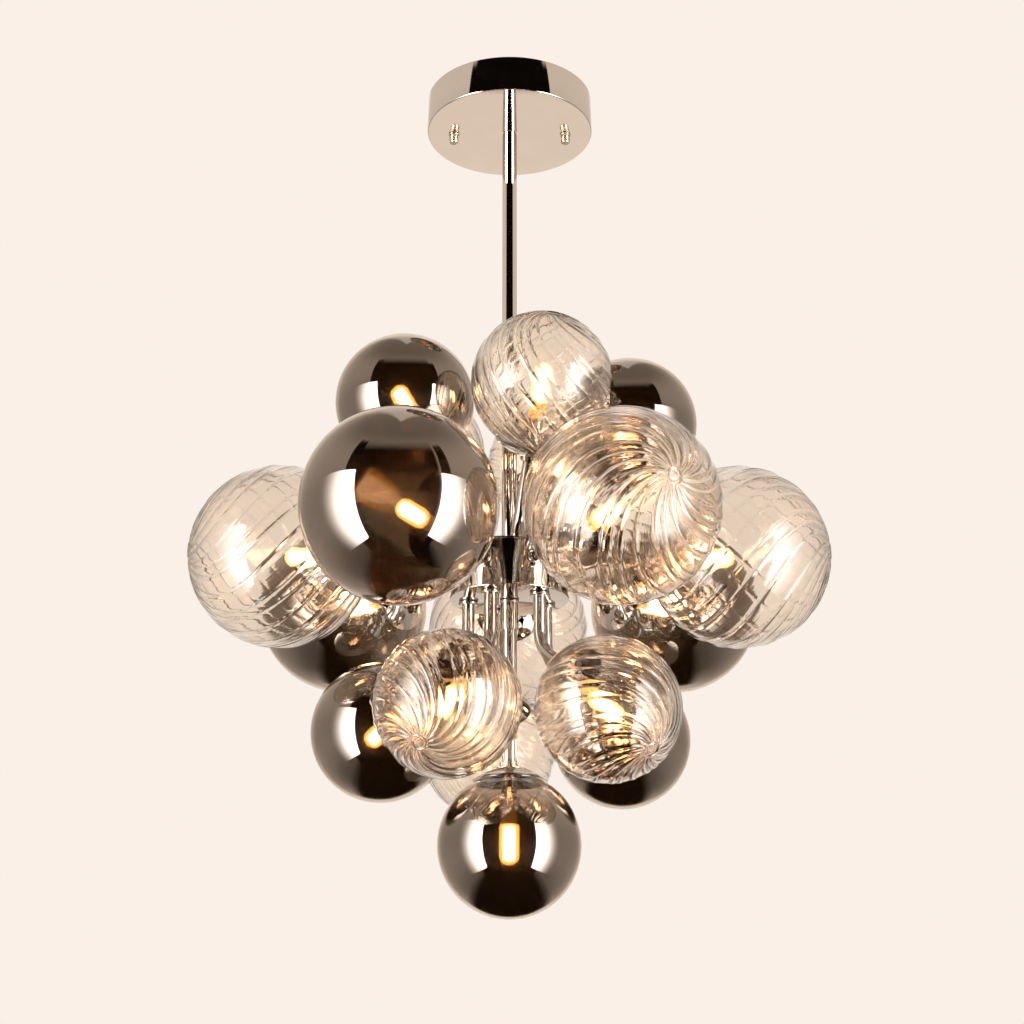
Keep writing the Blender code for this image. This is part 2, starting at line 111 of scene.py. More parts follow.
BULB_GLASS_LENGTH = 0.033

# Fine forms that only the dressed model has
EDGE_ROUND = 0.0004
HUB_LIP_THICKNESS = 0.0022
HUB_LIP_OVERHANG = 0.0007
CUP_RIM_ROUND = 0.0005
THREAD_PITCH = 0.0020
THREAD_DEPTH = 0.00045
THREAD_START = 0.0030
NUT_GROOVE_DEPTH = 0.0006
CLEAR_WALL = 0.0028
SMOKE_WALL = 0.0024
RIB_COUNT = 20
RIB_HEIGHT = 0.00068
RIB_WIDTH = 0.00125
RIB_WIDTH_SHARE = 0.17
RIB_TWIST_RATE = 1.11
RIB_JITTER_SHARE = 0.13
RIB_JITTER_STEP = 2.4
RIB_JITTER_START = 1.0
RIB_WANDER_SHARE = 0.16
RIB_WANDER_STEP = 2.1
RIB_WANDER_RATE = 1.7
RIB_HEIGHT_SPREAD_SHARE = 0.28
RIB_HEIGHT_STEP = 5.3
RIB_START = 0.0055
RIB_RISE = 0.0060
NECK_FADE = math.radians(14.0)
BUTTON_RADIUS = 0.0060
BUTTON_RING_WIDTH = 0.0008
BUTTON_RING_HEIGHT = 0.0009
BUTTON_REACH = 0.0105
NECK_ROUND = 0.004
NECK_ROW_SHARES = (0.35, 0.75, 1.0)
CORE_DIAMETER = 0.0106
CORE_MARGIN = 0.0018
BULB_SHOULDER_SHARE = 0.6
BULB_SHOULDER_ROUND_SHARE = 0.5
BULB_NOSE_SHARE = 0.12
BULB_NOSE_WIDTH_SHARE = 0.55
BULB_NOSE_ROUND_SHARE = 0.3

# Grain of the finishes, in features per metre, or per unit of the ribs' own circle for the streaks
NICKEL_HAZE_SCALE = 38.0
NICKEL_RIPPLE_SCALE = 160.0
NICKEL_RIPPLE_DEPTH = 0.0004
NICKEL_RIPPLE_SHARE = 0.02
TURNING_SCALE = 5200.0
TURNING_DEPTH = 0.0001
TURNING_SHARE = 0.10
ZINC_SCALE = 420.0
ZINC_DEPTH = 0.0002
ZINC_SHARE = 0.15
GLASS_DRIFT_SCALE = 14.0
HAZE_SCALE = 2600.0
STREAK_SCALE = 26.0
STREAK_LENGTH_SHARE = 0.13
STREAK_DEPTH = 0.0006
STREAK_SHARE = 0.15
FROST_SCALE = 260.0
CORE_SCALE = 300.0
AMBER_SCALE = 120.0
# Grain of the painted glints on the bulb's foot
PAINTED_GLINT_SCALE = 420.0

# Facets of the fine forms
TUBE_SIDES = 40
CUP_SIDES = 96
DRUM_SIDES = 144
COLUMNS_PER_RIB = 20
COLUMN_CROWDING = 2.0
CLEAR_ROWS = 84
BUTTON_ROWS = 14
SMOKE_COLUMNS = 128
SMOKE_ROWS = 72
INNER_ROWS = 36
DOME_STEPS = 12
BEND_STEPS = 14
ROUND_STEPS = 3
ROUND_REACH_SHARE = 0.45
SHARP_ANGLE = math.radians(40.0)

# Heights that follow from the sizes above
HUB_TOP = SEAT_GAP - CROSSBAR_THICKNESS - BOSS_LENGTH - ROD_LENGTH
HUB_MIDDLE = HUB_TOP - HUB_HEIGHT / 2
HUB_BOTTOM = HUB_TOP - HUB_HEIGHT
CUP_RADIUS = CUP_DIAMETER / 2

# Camera, from a fit to the globes and the two discs of the photograph
PICTURE_WIDTH = 1024
FOCAL_PIXELS = 1707.3
SENSOR_WIDTH = 36.0
CAMERA_PLACE = (0.00225, -1.4270, -0.8950)
CAMERA_PITCH = math.radians(18.627)

# Bulbs: those behind smoke glass are set brighter, as the photograph shows both kinds burnt out to white
BULB_LEVELS = {"clear": 14.0, "smoke": 150.0}
BULB_COLOURS = {"clear": (1.0, 0.80, 0.52), "smoke": (1.0, 0.90, 0.80)}
CAPSULE_GLOW = (1.0, 0.52, 0.14)
CAPSULE_GLOW_SHARE = 0.2
CAPSULE_COVER_SHARE = 0.45
# The foot's glow and its glints are painted light, given as emission
AMBER_PAINTED_GLOW = (1.0, 0.50, 0.16)
PAINTED_GLINT_EDGE = (0.42, 0.62)
PAINTED_GLINT_LEVELS = (0.5, 1.8)

# Finishes, each as the two tones it drifts between. The arms and hub take a darker copy of the pan's nickel,
# which is painted shade
CANOPY_NICKEL = ((0.80, 0.71, 0.635), (0.86, 0.775, 0.70))
ARM_NICKEL_PAINTED_SHADE = ((0.57, 0.515, 0.465), (0.65, 0.59, 0.535))
SATIN_NICKEL = ((0.66, 0.56, 0.46), (0.76, 0.67, 0.57))
ZINC = ((0.50, 0.50, 0.47), (0.72, 0.72, 0.69))
CLEAR_GLASS = ((0.962, 0.893, 0.818), (0.984, 0.923, 0.858))
CAPSULE_FROST = ((1.0, 0.80, 0.52), (1.0, 0.86, 0.62))
CORE_POWDER = ((1.0, 0.86, 0.60), (1.0, 0.92, 0.70))
AMBER = ((0.80, 0.42, 0.12), (0.92, 0.58, 0.22))

# Glass: smoke tints at the neck and over the ball, painted shade on the ribs' flanks and a painted highlight
# on their crests, and how much each part mirrors
GLASS_IOR = 1.5
FULL_GLOSS = 0.5
CLEAR_GLOSS = 0.35
SMOKE_COAT = ((0.95, 0.91, 0.87), (0.80, 0.67, 0.56))
SMOKE_BODY = ((0.90, 0.83, 0.75), (0.022, 0.0105, 0.0034))
COAT_REACH_SHARES = (-0.86, -0.36)
COAT_MIRROR_SHARE = 0.32
# The darker colour on the ribs' flanks is painted shade; the lighter crest, with its share of mirror, is a
# painted highlight and painted reflection
RIB_FLANK_PAINTED_SHADE = (0.93, 0.86, 0.77)
RIB_CREST_PAINTED_HIGHLIGHT = (1.0, 0.97, 0.93)
RIB_FOOT_RANGE = (0.10, 0.40)
RIB_SHOULDER_RANGE = (0.55, 0.80)
RIB_CREST_RANGE = (0.62, 0.90)
CREST_PAINTED_REFLECTION_SHARE = 0.18

# Roughness at the two ends of each grain's spread
GRAIN_SPREAD = (0.2, 0.8)
NICKEL_SPREAD = (0.25, 0.85)
NICKEL_ROUGHNESS = (0.025, 0.075)
SATIN_ROUGHNESS = (0.40, 0.52)
ZINC_ROUGHNESS = (0.28, 0.45)
FROST_ROUGHNESS = (0.15, 0.30)
AMBER_ROUGHNESS = (0.20, 0.35)
HAZE_ROUGHNESS = 0.26
HAZE_EDGE = (0.61, 0.65)

# Studio
BACKDROP = (0.956, 0.871, 0.799)
STUDIO_NEAR = (0.50, 0.44, 0.39)
STUDIO_SIDE = (0.52, 0.465, 0.42)
STUDIO_FAR = (0.50, 0.435, 0.375)
STUDIO_RISE = (0.66, 0.58, 0.50)
STUDIO_ABOVE = (0.33, 0.28, 0.24)
STUDIO_SWEEP = (0.83, 0.735, 0.635)
STUDIO_DARK = (0.0030, 0.0020, 0.0012)
LIGHT_LEVEL = (0.96, 0.93, 0.90)
FLOOR_HEIGHT = -2.5
FLOOR_SIZE = 90.0
FLOOR_TONES = ((0.975, 0.888, 0.815), (0.995, 0.908, 0.834))
FLOOR_SCALE = 1.5
FLOOR_ROUGHNESS = 0.9

# Where one part of the studio fades into the next, in degrees round from the front or up from level
SIDE_FADE = (50.0, 95.0)
FAR_FADE = (100.0, 140.0)
RISE_FADE = (10.0, 32.0)
ABOVE_FADE = (38.0, 70.0)
SWEEP_FADE = (150.0, 168.0)
SWEEP_RISE = (-25.0, 5.0)
FRONT_FADE = (48.0, 52.0)
FRONT_TOP = (44.0, 60.0)
LOW_TOP = (-62.0, -12.0)
LOW_FADE = (130.0, 165.0)
LOW_SHARE = 0.75

# Soft lamps, for shade on the floor and the plain parts
LAMP_PLACE = (1.9, -1.5, 0.3)
LAMP_AIM = (0.0, 0.0, -0.5)
LAMP_WIDTH = 1.2
LAMP_HEIGHT = 1.8
LAMP_POWER = 14.0
LAMP_COLOUR = (1.0, 0.98, 0.96)

# Paths of light, which go through several glass walls, and those that a sheet for mirrors is hidden from
GLASS_BOUNCES = 24
GLOSSY_BOUNCES = 8
BRIGHTEST_BOUNCE = 24.0
ONLY_IN_MIRRORS = ("camera", "diffuse", "volume_scatter", "shadow")

# Softboxes either side of the camera, placed from their corners in four of the mirrored globes
PANEL_INNER_PLACE = (0.88, -0.97, -0.86)
PANEL_TURN = math.radians(61.4)
PANEL_LENGTH = 1.45
PANEL_REACH = 2.30
PANEL_HALF_HEIGHT = 0.86
PANEL_FLAG = 0.27
PANEL_STRENGTH = 12.0
PANEL_COLOUR = (1.0, 0.985, 0.97)
PANEL_FADE_REACH = 1.15
PANEL_FADE_RISE_SHARE = 0.4
PANEL_FADE_POWER = 2.2
FLAG_FADE = (1.78, 2.08)

# Dark studio floor that only mirrors show, placed from its edges in the globes and under the canopy
DARK_FLOOR_HEIGHT = -1.31
DARK_FLOOR_FRONT = -2.6
DARK_FLOOR_BACK = 1.23
DARK_FLOOR_HALF_WIDTH = 0.50
DARK_FLOOR_FADE = 0.12


def ease(value, low, high):
    """Smooth step from 0 at low to 1 at high."""
    share = min(max((value - low) / (high - low), 0.0), 1.0)
    return share * share * (3 - 2 * share)


def place(azimuth, radius, height, tilt):
    """Frame at a radius and height, its Z leaning outwards by the tilt."""
    turn = Matrix.Rotation(azimuth, 4, "Z")
    shift = Matrix.Translation((0.0, -radius, height))
    lean = Matrix.Rotation(tilt, 4, "X")
    return turn @ shift @ lean


def circle(frame_, offset, radius, sides, turn=0.0):
    """Points of one round section square to a frame's Z, or its middle where the radius is 0."""
    if radius == 0.0:
        return [frame_ @ Vector((0.0, 0.0, offset))]
    step = math.tau / sides
    points = []
    for index in range(sides):
        angle = turn + step * index
        points.append(frame_ @ Vector((radius * math.cos(angle), radius * math.sin(angle), offset)))
    return points


def rounded(profile):
    """Profile of (offset, radius) points from (offset, radius, rounding) corners."""
    points = []
    for index, (offset, radius, rounding) in enumerate(profile):
        corner = Vector((offset, radius))
        if rounding == 0.0 or index in (0, len(profile) - 1):
            points.append(corner)
            continue
        before = Vector(profile[index - 1][:2]) - corner
        after = Vector(profile[index + 1][:2]) - corner
        reach = min(rounding, before.length * ROUND_REACH_SHARE, after.length * ROUND_REACH_SHARE)
        start = corner + before.normalized() * reach
        end = corner + after.normalized() * reach
        for step in range(ROUND_STEPS + 1):
            share = step / ROUND_STEPS
            points.append(start.lerp(corner, share).lerp(corner.lerp(end, share), share))
    return [(point.x, point.y) for point in points]


def skin(bm, rows, closed=False, material_index=0):
    """Faces through rows of points with equal numbers of points, or single points as tips."""
    verts = [[bm.verts.new(point) for point in row] for row in rows]
    pairs = list(zip(verts, verts[1:]))
    if closed:
        pairs.append((verts[-1], verts[0]))
    for first, second in pairs:
        count = max(len(first), len(second))
        for index in range(count):
            after = (index + 1) % count
            if len(first) == 1:
                corners = (first[0], second[after], second[index])
            elif len(second) == 1:
                corners = (first[index], first[after], second[0])
            else:
                corners = (first[index], first[after], second[after], second[index])
            bm.faces.new(corners).material_index = material_index
    if not closed:
        for row, last in ((verts[0], False), (verts[-1], True)):
            if len(row) > 1:
                bm.faces.new(row if last else row[::-1]).material_index = material_index
    return verts


def turned(bm, frame_, profile, sides, closed=False, material_index=0):
    """A turned form from rounded corners along the frame's Z."""
    rows = [circle(frame_, offset, radius, sides) for offset, radius in rounded(profile)]
    skin(bm, rows, closed, material_index)


def smooth_mesh(name, bm, materials):
    """Mesh with its faces outwards, smooth except at sharp edges."""
    bmesh.ops.recalc_face_normals(bm, faces=bm.faces)
    mesh = bpy.data.meshes.new(name)
    bm.to_mesh(mesh)
    bm.free()
    mesh.shade_smooth()
    mesh.set_sharp_from_angle(angle=SHARP_ANGLE)
    for material in materials:
        mesh.materials.append(material)
    return mesh


def finish_piece(name, bm, materials, body, nodes):
    """Make a mesh piece, ride it on its body and let it stand for its nodes."""
    return hang(name, smooth_mesh(name, bm, materials), Matrix(), body, nodes)


def hang(name, mesh, where, body, nodes):
    """Put a mesh in the scene as one piece of the object."""
    piece = bpy.data.objects.new(name, mesh)
    piece.matrix_world = where
    bpy.context.scene.collection.objects.link(piece)
    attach(piece, body)
    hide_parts(*nodes)
    return piece


# Shader nodes

class Nodes:
    """Short ways to add and join nodes in one tree."""

    def __init__(self, tree):
        self.tree = tree

    def add(self, kind, **settings):
        node = self.tree.nodes.new(kind)
        for key, value in settings.items():
            setattr(node, key, value)
        return node

    def set(self, node, name, value):
        """Set an input to a value, or join a socket to it."""
        if isinstance(value, bpy.types.NodeSocket):
            self.tree.links.new(value, node.inputs[name])
        else:
            node.inputs[name].default_value = value

    def math(self, operation, *values):
        node = self.add("ShaderNodeMath", operation=operation)
        for index, value in enumerate(values):
            self.set(node, index, value)
        return node.outputs[0]

    def smooth(self, value, low, high, to_low=0.0, to_high=1.0):
        """Smooth step of a value between two limits."""
        node = self.add("ShaderNodeMapRange", interpolation_type="SMOOTHSTEP")
        self.set(node, "Value", value)
        self.set(node, "From Min", low)
        self.set(node, "From Max", high)
        self.set(node, "To Min", to_low)
        self.set(node, "To Max", to_high)
        return node.outputs[0]

    def mix(self, factor, first, second):
        """Mix of two colours."""
        node = self.add("ShaderNodeMix", data_type="RGBA")
        self.set(node, 0, factor)
        for index, value in ((6, first), (7, second)):
            self.set(node, index, (*value, 1.0) if isinstance(value, tuple) else value)
        return node.outputs[2]

    def noise(self, vector, scale, detail=2.0):
        node = self.add("ShaderNodeTexNoise")
        self.set(node, "Vector", vector)
        self.set(node, "Scale", scale)
        self.set(node, "Detail", detail)
        return node.outputs["Fac"]

    def object_place(self):
        return self.add("ShaderNodeTexCoord").outputs["Object"]

    def bump(self, height, strength, distance):
        node = self.add("ShaderNodeBump")
        self.set(node, "Height", height)
        self.set(node, "Strength", strength)
        self.set(node, "Distance", distance)
        return node.outputs[0]


def new_material(name):
    """A material with an empty Principled surface, and its nodes."""
    material = bpy.data.materials.new(name)
    material.use_nodes = True
    shader = material.node_tree.nodes["Principled BSDF"]
    return material, Nodes(material.node_tree), shader


def make_grained(name, tones, roughness, spread=GRAIN_SPREAD, **grain_settings):
    """A material whose colour and roughness drift with one grain. Also its nodes, surface and grain."""
    material, nodes, shader = new_material(name)
    grain = nodes.noise(nodes.object_place(), **grain_settings)
    nodes.set(shader, "Base Color", nodes.mix(grain, *tones))
    nodes.set(shader, "Roughness", nodes.smooth(grain, *spread, *roughness))
    return material, nodes, shader, grain


def make_nickel(name, tones):
    """Polished nickel with faint polishing haze."""
    material, nodes, shader, _ = make_grained(name, tones, NICKEL_ROUGHNESS, spread=NICKEL_SPREAD,
                                              scale=NICKEL_HAZE_SCALE, detail=4.0)
    shader.inputs["Metallic"].default_value = 1.0
    ripple = nodes.noise(nodes.object_place(), NICKEL_RIPPLE_SCALE)
    nodes.set(shader, "Normal", nodes.bump(ripple, NICKEL_RIPPLE_SHARE, NICKEL_RIPPLE_DEPTH))
    return material


def make_satin():
    """Satin nickel of the thumb nuts, with fine turning marks round the axis."""
    material, nodes, shader = new_material("nickel_satin")
    where = nodes.object_place()
    split = nodes.add("ShaderNodeSeparateXYZ")
    nodes.set(split, 0, where)
    joined = nodes.add("ShaderNodeCombineXYZ")
    nodes.set(joined, "Z", split.outputs["Z"])
    marks = nodes.noise(joined.outputs[0], TURNING_SCALE, detail=1.0)
    shader.inputs["Metallic"].default_value = 1.0
    nodes.set(shader, "Base Color", nodes.mix(marks, *SATIN_NICKEL))
    nodes.set(shader, "Roughness", nodes.smooth(marks, *GRAIN_SPREAD, *SATIN_ROUGHNESS))
    nodes.set(shader, "Normal", nodes.bump(marks, TURNING_SHARE, TURNING_DEPTH))
    return material


def make_steel():
    """Zinc-plated steel, with the mottle of the plating."""
    material, nodes, shader, mottle = make_grained("zinc_plate", ZINC, ZINC_ROUGHNESS,
                                                   scale=ZINC_SCALE, detail=3.0)
    shader.inputs["Metallic"].default_value = 1.0
    nodes.set(shader, "Normal", nodes.bump(mottle, ZINC_SHARE, ZINC_DEPTH))
    return material


def make_clear_glass():
    """Outer face of clear glass: a champagne tint and streaks that run along the ribs, with painted shade
    darkening each rib's flanks and a painted highlight, lighter and part mirror, on its crest.
    """
    material, nodes, shader = new_material("champagne_glass")
    where = nodes.object_place()
    tint = nodes.mix(nodes.noise(where, GLASS_DRIFT_SCALE), *CLEAR_GLASS)
    rib = nodes.add("ShaderNodeAttribute", attribute_name="rib").outputs["Fac"]
    # Painted shade on each rib's flanks and a painted highlight on its crest
    foot = nodes.smooth(rib, *RIB_FOOT_RANGE)
    crest = nodes.smooth(rib, *RIB_CREST_RANGE)
    shoulder = nodes.smooth(rib, *RIB_SHOULDER_RANGE, 1.0, 0.0)
    tint = nodes.mix(nodes.math("MULTIPLY", foot, shoulder), tint, RIB_FLANK_PAINTED_SHADE)
    nodes.set(shader, "Base Color", nodes.mix(crest, tint, RIB_CREST_PAINTED_HIGHLIGHT))
    nodes.set(shader, "Metallic", nodes.math("MULTIPLY", crest, CREST_PAINTED_REFLECTION_SHARE))
    nodes.set(shader, "Normal", nodes.bump(rib_streaks(nodes, where), STREAK_SHARE, STREAK_DEPTH))
    set_glass(shader, CLEAR_GLOSS)
    return material


def make_clear_inside():
    """Inner face of clear glass."""
    material, nodes, shader = new_material("champagne_glass_inside")
    drift = nodes.noise(nodes.object_place(), GLASS_DRIFT_SCALE)
    nodes.set(shader, "Base Color", nodes.mix(drift, *CLEAR_GLASS))
    set_glass(shader, CLEAR_GLOSS)
    return material


def make_smoke_coat(globe_radius):
    """Outer face of smoke glass: a half mirror that clears towards the neck."""
    material, nodes, shader = new_material("smoke_mirror_coat")
    coat = coat_share(nodes, globe_radius)
    nodes.set(shader, "Base Color", nodes.mix(coat, *SMOKE_COAT))
    nodes.set(shader, "Metallic", nodes.math("MULTIPLY", coat, COAT_MIRROR_SHARE))
    set_glass(shader)
    return material


def make_smoke_body(globe_radius):
    """Inner face of smoke glass: dark amber to look through. Specks too fine to see glow round the bulb."""
    material, nodes, shader = new_material("smoke_amber_body")
    coat = coat_share(nodes, globe_radius)
    nodes.set(shader, "Base Color", nodes.mix(coat, *SMOKE_BODY))
    set_glass(shader)
    specks = nodes.noise(nodes.object_place(), HAZE_SCALE, detail=0.0)
    nodes.set(shader, "Roughness", nodes.smooth(specks, *HAZE_EDGE, 0.0, HAZE_ROUGHNESS))
    return material


def set_glass(shader, gloss=FULL_GLOSS):
    """Smooth see-through glass."""
    shader.inputs["Transmission Weight"].default_value = 1.0
    shader.inputs["Specular IOR Level"].default_value = gloss
    shader.inputs["Roughness"].default_value = 0.0
    shader.inputs["IOR"].default_value = GLASS_IOR


def coat_share(nodes, globe_radius):
    """1 over most of a globe, and 0 at its neck."""
    split = nodes.add("ShaderNodeSeparateXYZ")
    nodes.set(split, 0, nodes.object_place())
    return nodes.smooth(split.outputs["Z"], *(globe_radius * share for share in COAT_REACH_SHARES))


def rib_streaks(nodes, where):
    """Height of fine streaks that follow the ribs' spiral round the globe's Z."""
    split = nodes.add("ShaderNodeSeparateXYZ")
    nodes.set(split, 0, where)
    flat = nodes.math("SQRT", nodes.math("ADD", nodes.math("POWER", split.outputs["X"], 2.0),
                                         nodes.math("POWER", split.outputs["Y"], 2.0)))
    polar = nodes.math("ARCTAN2", flat, split.outputs["Z"])
    angle = nodes.math("ARCTAN2", split.outputs["Y"], split.outputs["X"])
    along = nodes.math("SUBTRACT", angle, nodes.math("MULTIPLY", polar, RIB_TWIST_RATE))
    joined = nodes.add("ShaderNodeCombineXYZ")
    nodes.set(joined, "X", nodes.math("COSINE", along))
    nodes.set(joined, "Y", nodes.math("SINE", along))
    nodes.set(joined, "Z", nodes.math("MULTIPLY", polar, STREAK_LENGTH_SHARE))
    return nodes.noise(joined.outputs[0], STREAK_SCALE)


def make_bulb_glass(tint, level):
    """Frosted capsule round the light, warm and half see-through."""
    name = "bulb_capsule_in_" + tint
    material, _, shader, _ = make_grained(name, CAPSULE_FROST, FROST_ROUGHNESS, scale=FROST_SCALE)
    shader.inputs["Emission Color"].default_value = (*CAPSULE_GLOW, 1.0)
    shader.inputs["Emission Strength"].default_value = level * CAPSULE_GLOW_SHARE
    shader.inputs["Alpha"].default_value = CAPSULE_COVER_SHARE
    return material


def make_bulb_core(tint, level):
    """The lit part of the bulb."""
    material, nodes, shader = new_material("bulb_light_in_" + tint)
    grain = nodes.noise(nodes.object_place(), CORE_SCALE, detail=1.0)
    nodes.set(shader, "Base Color", nodes.mix(grain, *CORE_POWDER))
    shader.inputs["Emission Color"].default_value = (*BULB_COLOURS[tint], 1.0)
    shader.inputs["Emission Strength"].default_value = level
    return material


def make_bulb_cap():
    """Amber plastic foot of the bulb, with a painted glow and painted glints as emission on a part that is no
    lamp.
    """
    material, nodes, shader, _ = make_grained("bulb_foot_amber_painted_glow", AMBER, AMBER_ROUGHNESS, scale=AMBER_SCALE)
    painted_glints = nodes.noise(nodes.object_place(), PAINTED_GLINT_SCALE, detail=1.0)
    shader.inputs["Emission Color"].default_value = (*AMBER_PAINTED_GLOW, 1.0)
    nodes.set(shader, "Emission Strength", nodes.smooth(painted_glints, *PAINTED_GLINT_EDGE, *PAINTED_GLINT_LEVELS))
    return material


# Metal pieces

def make_canopy(nickel):
    """Round pan with a crisp lower edge."""
    outer = CANOPY_DIAMETER / 2
    inner = outer - CANOPY_WALL
    hole = ROD_DIAMETER / 2 + ROD_HOLE_CLEARANCE
    floor = -CANOPY_HEIGHT + CANOPY_WALL
    profile = (
        (-CANOPY_HEIGHT, hole, 0.0),
        (-CANOPY_HEIGHT, outer, CANOPY_EDGE),
        (0.0, outer, EDGE_ROUND),
        (0.0, inner, EDGE_ROUND),
        (floor, inner, CANOPY_EDGE),
        (floor, hole, 0.0),
    )
    bm = bmesh.new()
    turned(bm, Matrix(), profile, DRUM_SIDES, closed=True)
    finish_piece("canopy_pan", bm, [nickel], "root", ["canopy"])


def make_nuts(satin):
    """Thumb nuts with a waist, each on its own body."""
    seat = -CANOPY_HEIGHT - SEAT_GAP
    bore = STUD_DIAMETER / 2 + SEAT_GAP
    radius = NUT_DIAMETER / 2
    waist = seat - NUT_FLANGE_THICKNESS - NUT_GROOVE_DEPTH
    profile = (
        (seat - NUT_THREAD_DEPTH, 0.0, 0.0),
        (seat - NUT_THREAD_DEPTH, bore, 0.0),
        (seat, bore, 0.0),
        (seat, NUT_FLANGE_DIAMETER / 2, EDGE_ROUND),
        (seat - NUT_FLANGE_THICKNESS, NUT_FLANGE_DIAMETER / 2, EDGE_ROUND),
        (seat - NUT_FLANGE_THICKNESS, radius - NUT_GROOVE_DEPTH, 0.0),
        (waist, radius - NUT_GROOVE_DEPTH, 0.0),
        (waist - NUT_GROOVE_DEPTH, radius, EDGE_ROUND),
        (seat - NUT_LENGTH + EDGE_ROUND * 3, radius, EDGE_ROUND * 2),
        (seat - NUT_LENGTH, radius - EDGE_ROUND * 3, EDGE_ROUND),
        (seat - NUT_LENGTH, 0.0, 0.0),
    )
    for side, sign in (("left", -1), ("right", 1)):
        bm = bmesh.new()
        turned(bm, Matrix.Translation((sign * STUD_SPACING / 2, 0.0, 0.0)), profile, TUBE_SIDES)
        name = "canopy_nut_" + side
        finish_piece(name + "_turned", bm, [satin], name, [name])


def make_rod(nickel):
    """Down rod with its spigot and its collar on the hub."""
    top = -CROSSBAR_THICKNESS - BOSS_LENGTH - SEAT_GAP
    bottom = HUB_TOP + SEAT_GAP
    collar = ROD_COLLAR_DIAMETER / 2
    profile = (
        (top + ROD_SPIGOT_LENGTH, 0.0, 0.0),
        (top + ROD_SPIGOT_LENGTH, ROD_SPIGOT_DIAMETER / 2, EDGE_ROUND),
        (top, ROD_SPIGOT_DIAMETER / 2, 0.0),
        (top, ROD_DIAMETER / 2, EDGE_ROUND),
        (bottom + ROD_COLLAR_LENGTH, ROD_DIAMETER / 2, 0.0),
        (bottom + ROD_COLLAR_LENGTH, collar, EDGE_ROUND),
        (bottom, collar, EDGE_ROUND),
        (bottom, 0.0, 0.0),
    )
    bm = bmesh.new()
    turned(bm, Matrix(), profile, TUBE_SIDES * 2)
    finish_piece("down_rod_tube", bm, [nickel], "root", ["down_rod"])


def make_hub(nickel):
    """Drum between two plates that stand slightly proud."""
    lip = HUB_DIAMETER / 2
    wall = lip - HUB_LIP_OVERHANG
    profile = (
        (HUB_TOP, 0.0, 0.0),
        (HUB_TOP, lip, EDGE_ROUND * 2),
        (HUB_TOP - HUB_LIP_THICKNESS, lip, EDGE_ROUND * 2),
        (HUB_TOP - HUB_LIP_THICKNESS, wall, 0.0),
        (HUB_BOTTOM + HUB_LIP_THICKNESS, wall, 0.0),
        (HUB_BOTTOM + HUB_LIP_THICKNESS, lip, EDGE_ROUND * 2),
        (HUB_BOTTOM, lip, EDGE_ROUND * 2),
        (HUB_BOTTOM, 0.0, 0.0),
    )
    bm = bmesh.new()
    turned(bm, Matrix(), profile, DRUM_SIDES)
    finish_piece("hub_drum_shell", bm, [nickel], "root", ["hub_drum"])


def cup_rim_height(globe_radius):
    """Height of a cup's rim over its globe's centre, as in the solids."""
    reach = (CUP_RADIUS - CUP_WALL) * math.cos(math.pi / CUP_SOLID_SIDES)
    return math.sqrt(globe_radius**2 - reach**2) + CUP_CLEARANCE


def cup_apex_height(globe_radius):
    """Height of a cup's apex over its globe's centre."""
    return cup_rim_height(globe_radius) + CUP_DEPTH


def dome_drop(radius):
    """How far the cup's outer dome has fallen below its apex at a radius."""
    curvature = (CUP_RADIUS**2 + CUP_DEPTH**2) / (2 * CUP_DEPTH)
    return curvature - math.sqrt(curvature**2 - radius**2)


def lamp_end(bm, apex):
    """Collar, domed cup and threaded lamp holder. The apex frame's Z points at the globe."""
    collar = COLLAR_DIAMETER / 2
    turned(bm, apex, (
        (-COLLAR_LENGTH, 0.0, 0.0),
        (-COLLAR_LENGTH, collar, EDGE_ROUND * 2),
        (dome_drop(collar), collar, 0.0),
        (CUP_SEAT_DEPTH / 2, collar, 0.0),
        (CUP_SEAT_DEPTH / 2, 0.0, 0.0),
    ), TUBE_SIDES)
    outer = []
    inner = []
    for step in range(DOME_STEPS + 1):
        radius = CUP_RADIUS * step / DOME_STEPS
        outer.append((dome_drop(radius), radius, 0.0))
        within = (CUP_RADIUS - CUP_WALL) * step / DOME_STEPS
        inner.append((dome_drop(within) + CUP_WALL, within, 0.0))
    rim = (
        (CUP_DEPTH, CUP_RADIUS, CUP_RIM_ROUND),
        (CUP_DEPTH, CUP_RADIUS - CUP_WALL, CUP_RIM_ROUND),
    )
    turned(bm, apex, tuple(outer[:-1]) + rim + tuple(inner[-2::-1]), CUP_SIDES)
    holder = HOLDER_DIAMETER / 2
    end = CUP_SEAT_DEPTH + HOLDER_LENGTH
    profile = [(CUP_SEAT_DEPTH / 2, 0.0, 0.0), (CUP_SEAT_DEPTH / 2, holder, 0.0)]
    offset = CUP_SEAT_DEPTH + THREAD_START
    profile.append((offset, holder, 0.0))
    while offset + THREAD_PITCH < end:
        profile.append((offset + THREAD_PITCH / 2, holder - THREAD_DEPTH, 0.0))
        offset += THREAD_PITCH
        profile.append((offset, holder, 0.0))
    profile += [(end, holder, EDGE_ROUND), (end, 0.0, 0.0)]
    turned(bm, apex, profile, TUBE_SIDES)
    turned(bm, apex, (
        (CUP_SEAT_DEPTH / 2, 0.0, 0.0),
        (CUP_SEAT_DEPTH / 2, CUP_SEAT_DIAMETER / 2, 0.0),
        (CUP_SEAT_DEPTH, CUP_SEAT_DIAMETER / 2, EDGE_ROUND),
        (CUP_SEAT_DEPTH, 0.0, 0.0),
    ), TUBE_SIDES)


def hub_washer(bm, start):
    """Washer where a tube meets the hub."""
    turned(bm, start, (
        (SEAT_GAP, 0.0, 0.0),
        (SEAT_GAP, WASHER_DIAMETER / 2, EDGE_ROUND * 2),
        (SEAT_GAP + WASHER_THICKNESS, WASHER_DIAMETER / 2, EDGE_ROUND * 2),
        (SEAT_GAP + WASHER_THICKNESS, 0.0, 0.0),
    ), TUBE_SIDES)


